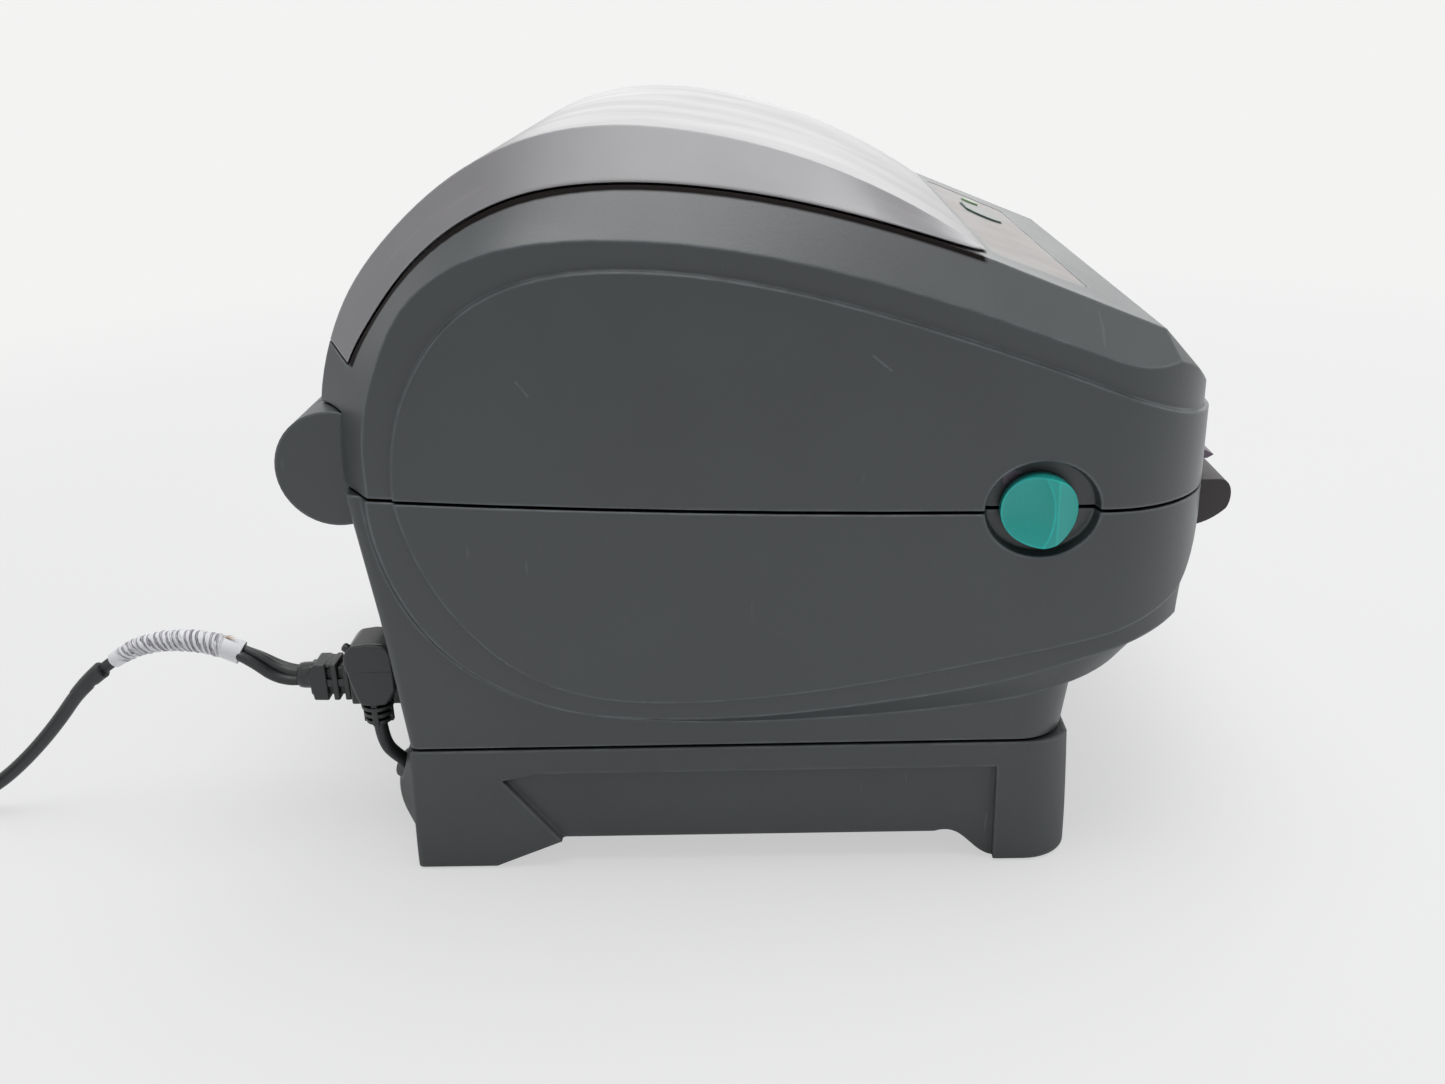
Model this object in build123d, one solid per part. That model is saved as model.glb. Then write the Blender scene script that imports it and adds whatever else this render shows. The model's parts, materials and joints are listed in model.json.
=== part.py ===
"""Desktop label and receipt printer on its power-supply base, as separate named pieces.

Millimetres. +Z is up, the front (where the paper comes out) faces -Y, and the origin is on
the table under the middle of the printer. The side profiles are drawn in the YZ plane and
are the same on both sides.
"""
from build123d import *
import math
import os

os.makedirs("parts", exist_ok=True)

# ---------------------------------------------------------------- driving dimensions
HALF_WIDTH = 82.0          # middle plane to the flat ring round the side panel
PANEL_PROUD = 1.0          # the egg-shaped side panel stands this far out of the ring
SHOULDER = 9.0             # width of the sloping shoulder, seen from above
COVER_BAND = 9.0           # width of the window cover's sloping side band
CASE_WALL = 2.5
COVER_WALL = 2.2
SEAM = 0.8                 # open joint between lid and lower case
COVER_GAP = 0.5            # dark groove under the window cover's edge
RUN = 0.05                 # radial clearance of a running fit
PLAY = 0.3                 # clearance between pieces that pass each other
FRONT_Y = -95.3            # front face
CORNER_R = 25.0            # front corners, in plan
SEAM_LOW_Y = -75.7         # the seam is a shallow arc that is lowest here
SEAM_LOW_Z = 87.64
SEAM_R = 2220.0

BASE_HALF = HALF_WIDTH - 3.0   # power base and pedestal, middle plane to side
BASE_FRONT_Y = -68.6
BASE_LEAN = 1.8            # the base's front leans back this far, from foot to rim
REAR_LEAN = 1.4            # its rear leans out this far at the foot
BASE_REAR_Y = 82.3
BASE_TOP_Z = 31.4
BASE_CORNER_R = 11.0
REAR_CORNER_R = 5.0
PEDESTAL_REAR_R = 2.2
BASE_REAR_R = 1.5
DECK_Z = 28.4              # the printer's foot stands here, inside the base's rim
DECK_T = 2.4
ARCH_Z = 7.3
FOOT_Z = 0.6               # moulded foot, above the table
PAD_R = 6.5
PAD_T = 2.4
PLATE_T = 2.0

PEDESTAL_Z = 32.2          # lower edge of the lower case's outer wall
FLOOR_T = 2.4

TUB_R = 60.0
ROLL_Y, ROLL_Z = 22.0, TUB_R + 42.0   # middle of a label roll in its bay
TUB_WALL = 2.0
CHEEK_X = HALF_WIDTH - 22.0    # inner face of the frame's side cheeks
CHEEK_T = 2.0
FRAME_TOP_Z = 84.5

HINGE_Y, HINGE_Z = 92.25, 97.25
HINGE_R = 12.75
KNUCKLE_IN, KNUCKLE_OUT = CHEEK_X + 1.0, HALF_WIDTH - SHOULDER
HINGE_PIN_R = 2.5
HINGE_GAP = 0.5            # between the lid's barrel and what it turns in
BARREL_WALL = 3.0

PLATEN_Y, PLATEN_Z = -80.0, 80.5
PLATEN_R = 7.5
PLATEN_HALF = CHEEK_X - 6.0
SHAFT_R = 3.0
BEARING_R = 5.0
MOTOR_Y, MOTOR_Z = -54.0, 62.5
MOTOR_R = 16.0
MOTOR_LEN = 30.0
MODULE = 1.0
PLATEN_TEETH, IDLER_TEETH, PINION_TEETH = 16, 18, 12
GEAR_X = CHEEK_X + 3.5
GEAR_T = 4.0

HOLDER_X = 30.0            # inner face of a roll holder's arm, closed
HOLDER_T = 3.0
HOLDER_TRAVEL = 26.0
HOLDER_TEETH = 12
HUB_R = 12.2
HUB_LEN = 9.0
HUB_PIN_R = 3.0
HOLDER_NECK = 10.0
RACK_Z, RACK_T = 31.1, 4.0
HOLDER_PIN_R = 2.0

LATCH_Y, LATCH_Z = -55.5, 88.2
KNOB_Y, KNOB_W, KNOB_H = LATCH_Y - 0.4, 16.0, 15.4
LATCH_OUT = HALF_WIDTH + 3.5   # outer face of the latch knob
LATCH_TRAVEL = 4.0
DISH_W, DISH_H, DISH_DEPTH = 24.9, 22.0, 3.0
DISH_Y = -56.6

LATCH_STEM = 8.0
LATCH_STEM_Z = 80.5
STEM_LOW, STEM_TOP = LATCH_STEM_Z + 3.0, LATCH_STEM_Z + 6.6
LATCH_KNOB_IN = HALF_WIDTH - 1.2
SCOOP_R, SCOOP_DEPTH = 9.7, 3.1
SCOOP_TALL = 1.5           # the scoop is this much taller than it is deep and wide
HOOK_X = 6.5 - HALF_WIDTH
HOOK_TOP = 99.0
SPRING_X, SPRING_Z = HOOK_X + 1.5, LATCH_STEM_Z + 1.9
SPRING_FRONT_Y, SPRING_REAR_Y = LATCH_Y + LATCH_STEM / 2, -25.0
BEZEL_TOP_Z = 84.2

BUTTON_L, BUTTON_W = 20.0, 10.0
BUTTON_TRAVEL = 1.0
BUTTON_X = HALF_WIDTH - 58.0
SCREW_R = 1.5

WINDOW_HALF = HALF_WIDTH - 16.0   # opening under the window cover
WINDOW_FRONT_Y, WINDOW_REAR_Y = -40.0, 78.0
BARREL_END = 6.0           # solid ends of the lid's hinge barrel
CARRIER_Z, CARRIER_T = 106.0, 2.0
CARRIER_HALF = CHEEK_X - 2.0
HEAD_HALF = CHEEK_X - 4.0
HEAD_POST_X = 50.0         # posts that the head carrier hangs from
FIXING_X = 45.0            # screws that hold the printer to its base

DATA_CORD_D = 3.5
DC_LEAD_D = 3.2
COIL_MEAN_R = 19.0
COIL_BAND = 14.0

# ---------------------------------------------------------------- side profiles (y, z)
# Each is a loop of runs: two points make a line, more make a smooth curve.
DOWN_Z = 70.0              # closing line of the lid's profiles, below the seam
RING_FRONT_Y = FRONT_Y + PANEL_PROUD
RING_TOP = [
    (83.3, 100.0), (82.2, 110.0), (78.4, 121.5), (71.8, 132.8), (61.5, 140.8),
    (48.0, 144.7), (33.3, 145.5), (15.0, 144.2), (-7.0, 140.1), (-29.5, 133.7), (-46.0, 128.1)]
RING_SLOPE = [(-46.0, 128.1), (-86.0, 112.8)]
RING_BEVEL = [(-86.0, 112.8), (RING_FRONT_Y, 108.7)]
EDGE_TOP = [
    (90.5, 100.0), (89.2, 110.0), (86.1, 119.9), (80.6, 128.6), (72.6, 138.2),
    (61.5, 147.0), (48.0, 152.7), (33.7, 154.6), (14.0, 153.7), (-10.5, 149.2), (-46.0, 138.0)]
EDGE_SLOPE = [(-46.0, 138.0), (-81.6, 123.1)]
EDGE_BEVEL = [(-81.6, 123.1), (RING_FRONT_Y, 108.7)]
COVER_TOP = [
    (96.6, 103.0), (95.4, 112.5), (92.4, 122.5), (86.6, 133.9), (76.8, 145.3),
    (62.5, 156.5), (48.0, 162.9), (31.9, 165.3), (12.0, 163.4), (-14.6, 155.6), (-46.0, 138.4)]
COVER_SPLIT = [(84.0, 118.3), (95.5, 124.9)]   # rear end of the window cover
PANEL_TOP = [
    (77.8, 92.5), (77.2, 102.3), (75.1, 110.8), (69.8, 121.5), (62.5, 130.0), (53.4, 135.6),
    (43.4, 138.5), (30.0, 139.5), (14.2, 138.3), (-10.0, 133.4), (-39.4, 124.2), (-64.4, 115.0),
    (-82.7, 107.9), (FRONT_Y, 104.3)]
PANEL_CHIN = [(FRONT_Y, 86.0), (-93.0, 77.0), (-91.0, 71.5), (-87.6, 66.4)]
PANEL_LOW = [
    (-87.6, 66.4), (-76.9, 61.2), (-56.0, 55.6), (-36.4, 51.6), (-16.0, 48.0),
    (6.9, 45.4), (24.0, 44.9), (39.8, 46.7), (53.5, 52.3), (65.6, 63.5), (74.2, 78.5), (77.8, 92.5)]
# In front of BOW_Y the undersides of the ring and of the bevel under it are flat and rise forwards.
BOW_Y = -55.0
RING_BOW_Z, RING_BOW_RISE = 49.6, 0.314
BEVEL_BOW_Z, BEVEL_BOW_RISE = 43.0, 0.297
BEVEL_IN = 3.0
BEVEL_FRONT_Y = -82.0
BEVEL_CORNER_R = 20.0
RING_CHIN_Y = -88.6
RING_CHIN = [(RING_FRONT_Y, 86.0), (-92.0, 77.0), (-90.2, 69.8),
             (RING_CHIN_Y, RING_BOW_Z + RING_BOW_RISE * (BOW_Y - RING_CHIN_Y))]
RING_LOW = [
    (BOW_Y, RING_BOW_Z), (-45.0, 47.2), (-26.0, 44.0), (-6.0, 41.5),
    (14.0, 40.3), (33.6, 41.0), (46.0, 43.1), (58.0, 48.0), (68.2, 55.1), (76.2, 65.1),
    (81.6, 77.6), (83.3, 100.0)]
BEVEL_LOW = [
    (BOW_Y, BEVEL_BOW_Z), (-45.0, 41.4), (-26.0, 39.4), (-6.0, 38.2),
    (14.0, 38.0), (33.6, 39.3), (46.8, 41.6), (59.2, 46.6), (69.8, 54.0), (78.0, 64.3),
    (83.4, 77.2), (85.2, 100.0)]
PEDESTAL = [
    [(-66.1, PEDESTAL_Z), (82.3, PEDESTAL_Z)], [(82.3, PEDESTAL_Z), (85.5, 64.5)],
    [(85.5, 64.5), (90.0, 98.0)], [(90.0, 98.0), (-76.0, 98.0)], [(-76.0, 98.0), (-66.1, PEDESTAL_Z)]]

RING = [RING_TOP, RING_SLOPE, RING_BEVEL, [RING_BEVEL[1], RING_CHIN[0]], RING_CHIN,
        [RING_CHIN[-1], RING_LOW[0]], RING_LOW]
PANEL = [PANEL_TOP, [PANEL_TOP[-1], PANEL_CHIN[0]], PANEL_CHIN, PANEL_LOW]


# ---------------------------------------------------------------- drawing helpers
def wire_at(x, runs):
    """The closed loop of runs, in the plane at x."""
    edges = []
    for run in runs:
        points = [Vector(x, y, z) for y, z in run]
        edges.append(Line(*points) if len(points) == 2 else Spline(*points))
    return Wire(edges)


def slab(runs, low, high):
    """The loop as a plate from x = low to x = high."""
    return extrude(Face(wire_at(low, runs)), amount=high - low, dir=(1, 0, 0))


def both(runs, half):
    return slab(runs, -half, half)


def band(runs_in, x_in, runs_out, x_out):
    """Sloping side between two loops, on the left and on the right."""
    side = Solid.make_loft([wire_at(x_in, runs_in), wire_at(x_out, runs_out)], ruled=True)
    return side + mirror(side, Plane.YZ)


def closed(runs, *corners):
    """An open chain of runs, closed by straight lines through the corners."""
    points = [runs[-1][-1], *corners, runs[0][0]]
    return [*runs, *[list(pair) for pair in zip(points, points[1:])]]


def inset(runs, by):
    """The same loop moved inwards, each point along the bisector of its two sides."""
    points = [p for run in runs for p in run[:-1]]
    count = len(points)
    area = sum(points[i][0] * points[(i + 1) % count][1] - points[(i + 1) % count][0] * points[i][1]
               for i in range(count))
    turn = 1.0 if area > 0 else -1.0
    moved = []
    for i, (y, z) in enumerate(points):
        sides = []
        for a, b in ((points[i - 1], points[i]), (points[i], points[(i + 1) % count])):
            length = math.hypot(b[0] - a[0], b[1] - a[1])
            sides.append(((a[1] - b[1]) / length * turn, (b[0] - a[0]) / length * turn))
        (ay, az), (by_, bz) = sides
        scale = by / max(0.3, 1 + ay * by_ + az * bz)
        moved.append((y + (ay + by_) * scale, z + (az + bz) * scale))
    result, at = [], 0
    for run in runs:
        steps = len(run) - 1
        result.append([moved[(at + k) % count] for k in range(steps + 1)])
        at += steps
    return result


def block(x0, x1, y0, y1, z0, z1):
    return Pos((x0 + x1) / 2, (y0 + y1) / 2, (z0 + z1) / 2) * Box(
        abs(x1 - x0), abs(y1 - y0), abs(z1 - z0))


def bar_x(y, z, radius, x0, x1):
    """A round bar along X."""
    return Pos((x0 + x1) / 2, y, z) * Rot(0, 90, 0) * Cylinder(radius, abs(x1 - x0))


def post(x, y, radius, z0, z1):
    return Pos(x, y, (z0 + z1) / 2) * Cylinder(radius, abs(z1 - z0))


def two_sides(shape):
    return shape + mirror(shape, Plane.YZ)


def plan(half, front, rear, front_r, rear_r, low=-10.0, high=200.0):
    """A tall block with the plan outline: rounded front corners and rear corners."""
    outline = Pos(0, (front + rear) / 2, low) * Box(
        2 * half, rear - front, high - low, align=(Align.CENTER, Align.CENTER, Align.MIN))
    upright = outline.edges().filter_by(Axis.Z).sort_by(Axis.Y)
    outline = fillet(upright[:2], front_r)
    upright = outline.edges().filter_by(Axis.Z).sort_by(Axis.Y)
    return fillet(upright[-2:], rear_r)


def seam_z(y):
    return SEAM_LOW_Z + SEAM_R - math.sqrt(SEAM_R ** 2 - (y - SEAM_LOW_Y) ** 2)


def beside_seam(offset, far_z):
    """All that lies beyond the seam, on the side of far_z."""
    ends = (-140.0, 140.0)
    a, m, b = [Vector(0, y, seam_z(y) + offset) for y in (ends[0], 0.0, ends[1])]
    loop = Wire([ThreePointArc(a, m, b), Line(b, Vector(0, ends[1], far_z)),
                 Line(Vector(0, ends[1], far_z), Vector(0, ends[0], far_z)),
                 Line(Vector(0, ends[0], far_z), a)])
    return extrude(Face(loop), amount=100, dir=(1, 0, 0), both=True)


def gear(teeth, thickness, bore, turned=0.0):
    """A spur gear on the Z axis with straight-flanked teeth; one tooth points to `turned`."""
    root, tip = MODULE * (teeth / 2 - 1.2), MODULE * (teeth / 2 + 0.85)
    pitch = 360 / teeth
    outline = []
    for k in range(teeth):
        for r, part in ((root, -0.30), (tip, -0.11), (tip, 0.11), (root, 0.30)):
            angle = math.radians(turned + (k + part) * pitch)
            outline.append((r * math.cos(angle), r * math.sin(angle)))
    face = make_face(Polyline(*outline, close=True)) - Circle(bore)
    return extrude(face, amount=thickness)


def facing_x(shape, y, z, x0):
    """A piece drawn on the Z axis, laid along +X from x0; its own X turns to +Y, its Y to +Z."""
    return Plane(origin=(x0, y, z), x_dir=(0, 1, 0), z_dir=(1, 0, 0)) * shape


def tube_along(points, radii, radius):
    """A round cord along straight runs joined by tangent arcs."""
    path = FilletPolyline(*points, radius=radii)
    start = Plane(origin=path @ 0, z_dir=path % 0)
    return sweep(start * Circle(radius), path=path)


def arc_radii(points, label):
    """The largest arc at each corner that 0.45 of its shorter run allows."""
    radii = []
    for a, b, c in zip(points, points[1:], points[2:]):
        first, second = Vector(*b) - Vector(*a), Vector(*c) - Vector(*b)
        half = math.radians(first.get_angle(second)) / 2
        radii.append(0.45 * min(first.length, second.length) / math.tan(half))
    print(label, "arc radii", [round(r, 1) for r in radii])
    return radii


nodes = {}


def keep(name, *shapes):
    """Store the solids of one node."""
    solids = [s for shape in shapes for s in shape.solids()]
    nodes[name] = solids[0] if len(solids) == 1 else Compound(children=solids)


# ---------------------------------------------------------------- the two shells
LID_RING = closed([RING_TOP, RING_SLOPE, RING_BEVEL], (RING_FRONT_Y, DOWN_Z), (RING_TOP[0][0], DOWN_Z))
LID_EDGE = closed([EDGE_TOP, EDGE_SLOPE, EDGE_BEVEL], (RING_FRONT_Y, DOWN_Z), (EDGE_TOP[0][0], DOWN_Z))
COVER = closed([COVER_TOP], (COVER_TOP[-1][0], EDGE_TOP[0][1]))
COVER_EDGE = closed([EDGE_TOP], (EDGE_TOP[-1][0], EDGE_TOP[0][1]))
EDGE_X = HALF_WIDTH - SHOULDER
COVER_X = EDGE_X - COVER_BAND
PANEL_X = HALF_WIDTH + PANEL_PROUD
INNER_X = HALF_WIDTH - CASE_WALL
REAR_LIMIT = 130.0


def front_rounded(half, front, corner_r):
    return plan(half, front, REAR_LIMIT, corner_r, 1.0)


def dish(x_floor, clearance=0.0):
    """The oval thumb recess round a latch, on the left side."""
    outline = Plane(origin=(-x_floor, DISH_Y, LATCH_Z), x_dir=(0, -1, 0), z_dir=(-1, 0, 0)) * (
        Ellipse(DISH_W / 2 - 1.2 + clearance, DISH_H / 2 - 1.2 + clearance))
    return extrude(outline, amount=DISH_DEPTH + PANEL_PROUD, taper=-14)


def latch_pads():
    """Thicker wall round each latch recess, inside both shells."""
    return two_sides(bar_x(DISH_Y, LATCH_Z, DISH_W / 2 + 1.5, -INNER_X - 0.5, -INNER_X + CASE_WALL))


def cover_shell():
    outer = both(COVER, COVER_X) + band(COVER, COVER_X, COVER_EDGE, EDGE_X)
    hollow, hollow_edge = inset(COVER, COVER_WALL), inset(COVER_EDGE, COVER_WALL)
    thin_x, thin_edge_x = COVER_X - COVER_WALL / 2, EDGE_X - COVER_WALL
    return outer - both(hollow, thin_x) - band(hollow, thin_x, hollow_edge, thin_edge_x)


def behind_split(gap):
    """Everything behind and below the rear end of the window cover."""
    (ay, az), (by, bz) = COVER_SPLIT
    rise = (bz - az) / (by - ay)
    start, end = 76.0, 104.0
    return both([[(start, az + (start - ay) * rise + gap), (end, az + (end - ay) * rise + gap)],
                 [(end, az + (end - ay) * rise + gap), (end, DOWN_Z)],
                 [(end, DOWN_Z), (start, DOWN_Z)],
                 [(start, DOWN_Z), (start, az + (start - ay) * rise + gap)]], 90.0)


SLOPE_DROP = math.atan2(EDGE_SLOPE[0][1] - EDGE_SLOPE[1][1], EDGE_SLOPE[0][0] - EDGE_SLOPE[1][0])
PANEL_Y = -58.5
PANEL_Z = EDGE_SLOPE[0][1] + (PANEL_Y - EDGE_SLOPE[0][0]) * math.tan(SLOPE_DROP)
ON_PANEL = Plane(origin=(0, PANEL_Y, PANEL_Z), x_dir=(1, 0, 0),
                 z_dir=(0, -math.sin(SLOPE_DROP), math.cos(SLOPE_DROP)))
OVERLAY_T = 0.6
OVERLAY_REAR, OVERLAY_FRONT = 11.0, -11.8
OVERLAY_HALF_REAR, OVERLAY_HALF_FRONT = HALF_WIDTH - 22.0, HALF_WIDTH - 26.0
LIGHT_X, LIGHT_R = BUTTON_X + 20.0, 2.5
BOARD_DROP = 8.0           # panel board's top, below the panel
BOARD_HALF_L, BOARD_HALF_W, BOARD_T = 34.0, 9.0, 1.6
BOARD_X = BUTTON_X + 6.0


def overlay(clearance=0.0):
    face = make_face(Polyline(
        (-OVERLAY_HALF_REAR - clearance, OVERLAY_REAR + clearance),
        (OVERLAY_HALF_REAR + clearance, OVERLAY_REAR + clearance),
        (OVERLAY_HALF_FRONT + clearance, OVERLAY_FRONT - clearance),
        (-OVERLAY_HALF_FRONT - clearance, OVERLAY_FRONT - clearance), close=True))
    return fillet(face.vertices(), 3.0)


def button_slot(clearance, low, high):
    face = SlotOverall(BUTTON_L + 2 * clearance, BUTTON_W + 2 * clearance)
    return ON_PANEL * Pos(BUTTON_X, 0, low) * extrude(face, amount=high - low)


def panel_hole(x, radius, low, high):
    return ON_PANEL * Pos(x, 0, (low + high) / 2) * Cylinder(radius, high - low)


KEEPER_Y, KEEPER_Z, KEEPER_R = -50.5, 94.0, 2.0
HOOK_NOSE_Y = KEEPER_Y - KEEPER_R - 0.6
HEAD_PIVOT_Y, HEAD_PIVOT_Z, HEAD_PIVOT_R = -50.0, 98.0, 2.0
TEAR_HALF = PLATEN_HALF
TEAR_Z = 88.9
TEAR_T = 2.2


def make_upper_case():
    inner_edge, inner_ring = inset(LID_EDGE, CASE_WALL), inset(LID_RING, CASE_WALL)
    outer = both(LID_EDGE, EDGE_X) + band(LID_EDGE, EDGE_X, LID_RING, HALF_WIDTH)
    outer &= front_rounded(HALF_WIDTH, RING_FRONT_Y, CORNER_R - PANEL_PROUD)
    outer += both(PANEL, PANEL_X) & front_rounded(PANEL_X, FRONT_Y, CORNER_R)
    hollow = both(inner_edge, EDGE_X - CASE_WALL)
    hollow += band(inner_edge, EDGE_X - CASE_WALL, inner_ring, INNER_X)
    hollow &= front_rounded(INNER_X, RING_FRONT_Y + CASE_WALL, CORNER_R - PANEL_PROUD - CASE_WALL)
    shell = outer - hollow
    rear = cover_shell() & behind_split(0) & block(-90, 90, 78, 120, DOWN_Z, 140)
    shell += rear
    shell -= block(-WINDOW_HALF, WINDOW_HALF, WINDOW_FRONT_Y, WINDOW_REAR_Y, 117, 200)
    shell += latch_pads() & hollow
    shell -= two_sides(dish(PANEL_X - DISH_DEPTH))
    shell &= beside_seam(SEAM / 2, 220)
    # hinge: a hollow barrel between the lower case's two knuckles
    for side in (-1, 1):
        shell -= bar_x(HINGE_Y, HINGE_Z, HINGE_R + HINGE_GAP, side * (KNUCKLE_IN - PLAY),
                       side * (KNUCKLE_OUT + HINGE_GAP))
    shell += bar_x(HINGE_Y, HINGE_Z, HINGE_R, -KNUCKLE_IN + 2 * PLAY, KNUCKLE_IN - 2 * PLAY)
    barrel_end = KNUCKLE_IN - 2 * PLAY - BARREL_END
    shell -= bar_x(HINGE_Y, HINGE_Z, HINGE_R - BARREL_WALL, -barrel_end, barrel_end)
    shell -= bar_x(HINGE_Y, HINGE_Z, HINGE_PIN_R + RUN, -KNUCKLE_IN, KNUCKLE_IN)
    # control panel: pocket, button slot, light hole and the board's posts
    shell -= ON_PANEL * Pos(0, 0, -OVERLAY_T) * extrude(overlay(0.2), amount=3)
    shell -= button_slot(PLAY, -6, 3)
    shell -= panel_hole(LIGHT_X, LIGHT_R + RUN, -6, 3)
    for x in (BOARD_X - BOARD_HALF_L + 5, BOARD_X + BOARD_HALF_L - 3):
        shell += panel_hole(x, 2.5, -BOARD_DROP, -2)
    # seats of the head carrier and the tear bar
    for x in (-HEAD_POST_X, HEAD_POST_X):
        shell += post(x, -78.0, 3.0, CARRIER_Z + CARRIER_T, 122.5)
        shell += post(x, -43.0, 3.0, CARRIER_Z + CARRIER_T, 137.5)
    shell -= block(-TEAR_HALF - PLAY, TEAR_HALF + PLAY, FRONT_Y - 5, -90, 80, TEAR_Z + TEAR_T)
    # pockets of the keepers that the latches hold
    keepers = [bar_x(KEEPER_Y, KEEPER_Z, KEEPER_R, side * (INNER_X - 8.5),
                      side * (INNER_X + 0.5)) for side in (-1, 1)]
    for keeper in keepers:
        shell -= keeper
    keep("latch_keepers", *keepers)
    return shell


def make_window_cover():
    shell = cover_shell() - behind_split(0.5)
    shell -= both(inset(COVER_EDGE, -PLAY), 90)
    shell -= two_sides(slab(inset(COVER_EDGE, -COVER_GAP), -90, -WINDOW_HALF))
    # skirt that locates the cover in the case's opening
    skirt_out, skirt_in = inset(COVER_EDGE, -COVER_GAP - 4), inset(COVER_EDGE, 1.5)
    skirt_x = WINDOW_HALF
    skirt = two_sides(slab(skirt_out, -skirt_x, -skirt_x + 1.6) - slab(skirt_in, -90, 0))
    room = both(inset(COVER, COVER_WALL / 2), COVER_X) + band(
        inset(COVER, COVER_WALL / 2), COVER_X - 0.6, inset(COVER_EDGE, COVER_WALL / 2), EDGE_X - 1.2)
    keep_in = block(-90, 90, WINDOW_FRONT_Y + PLAY, WINDOW_REAR_Y - PLAY, 117, 200)
    cover = shell + (skirt & room & keep_in)
    return cover.solids().sort_by(SortBy.VOLUME)[-1]


BEVEL_X = HALF_WIDTH - BEVEL_IN
PORT_BOARD_Z, PORT_BOARD_T = 31.4, 1.4
PORT_Z = PORT_BOARD_Z + PORT_BOARD_T
PORT_FACE_Y = 84.0
DATA_X, DATA_W, DATA_H = 31.0 - HALF_WIDTH, 12.0, 10.8
JACK_X, JACK_W, JACK_H = 14.5 - HALF_WIDTH, 10.0, 11.0
JACK_AXIS_Z = 48.5
DC_BARREL_R = 2.8
PARALLEL_X, PARALLEL_W, PARALLEL_H = CHEEK_X - 30.0, 52.0, 13.0
SERIAL_X = (DATA_X + DATA_W / 2 + PARALLEL_X - PARALLEL_W / 2) / 2
SERIAL_W, SERIAL_H = 31.0, 12.6
SWITCH_X, SWITCH_Z, SWITCH_W, SWITCH_H = HALF_WIDTH - 13.5, 62.0, 10.0, 19.0
ROCKER_Y = 80.0
FOOT_IN = 3.4              # the foot is this much narrower than the pedestal
FRAME_Y0, FRAME_Y1 = -88.0, 79.0


def bow_face(half, front, corner_r, start_z, rise):
    """Outline of the flat, rising underside at the front, as a tilted face."""
    tilt = Plane(origin=(0, BOW_Y, start_z), x_dir=(1, 0, 0), z_dir=(0, rise, 1))
    solid = front_rounded(half, front, corner_r) & block(-half, half, front, BOW_Y, 20, 110)
    return solid.split(tilt, keep=Keep.TOP).faces().sort_by(Axis.Z)[0]


def bow(inner=0.0):
    """The bevel that wraps round the front under the ring."""
    high = bow_face(HALF_WIDTH - inner, RING_CHIN_Y - 1.5 + inner, CORNER_R - PANEL_PROUD - inner,
                    RING_BOW_Z + 1.2 * inner, RING_BOW_RISE)
    low = bow_face(BEVEL_X - inner, BEVEL_FRONT_Y + inner, BEVEL_CORNER_R - inner,
                   BEVEL_BOW_Z + inner, BEVEL_BOW_RISE)
    return Solid.make_loft([low.outer_wire(), high.outer_wire()], ruled=True)


def rear_hole(x, width, z0, z1):
    return block(x - width / 2, x + width / 2, 70, 100, z0, z1)


def pedestal(inner=0.0):
    body = both(inset(PEDESTAL, inner) if inner else PEDESTAL, BASE_HALF - inner)
    upright = body.edges().filter_by(lambda e: e.length > 30 and abs((e % 0).Z) > 0.9).sort_by(Axis.Y)
    body = fillet(upright[:2], BASE_CORNER_R - inner)
    lean = body.edges().filter_by(lambda e: e.length > 20 and abs((e % 0).Z) > 0.9
                                  and e.center().Y > 70)
    return fillet(lean, PEDESTAL_REAR_R / 2 if inner else PEDESTAL_REAR_R)


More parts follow.
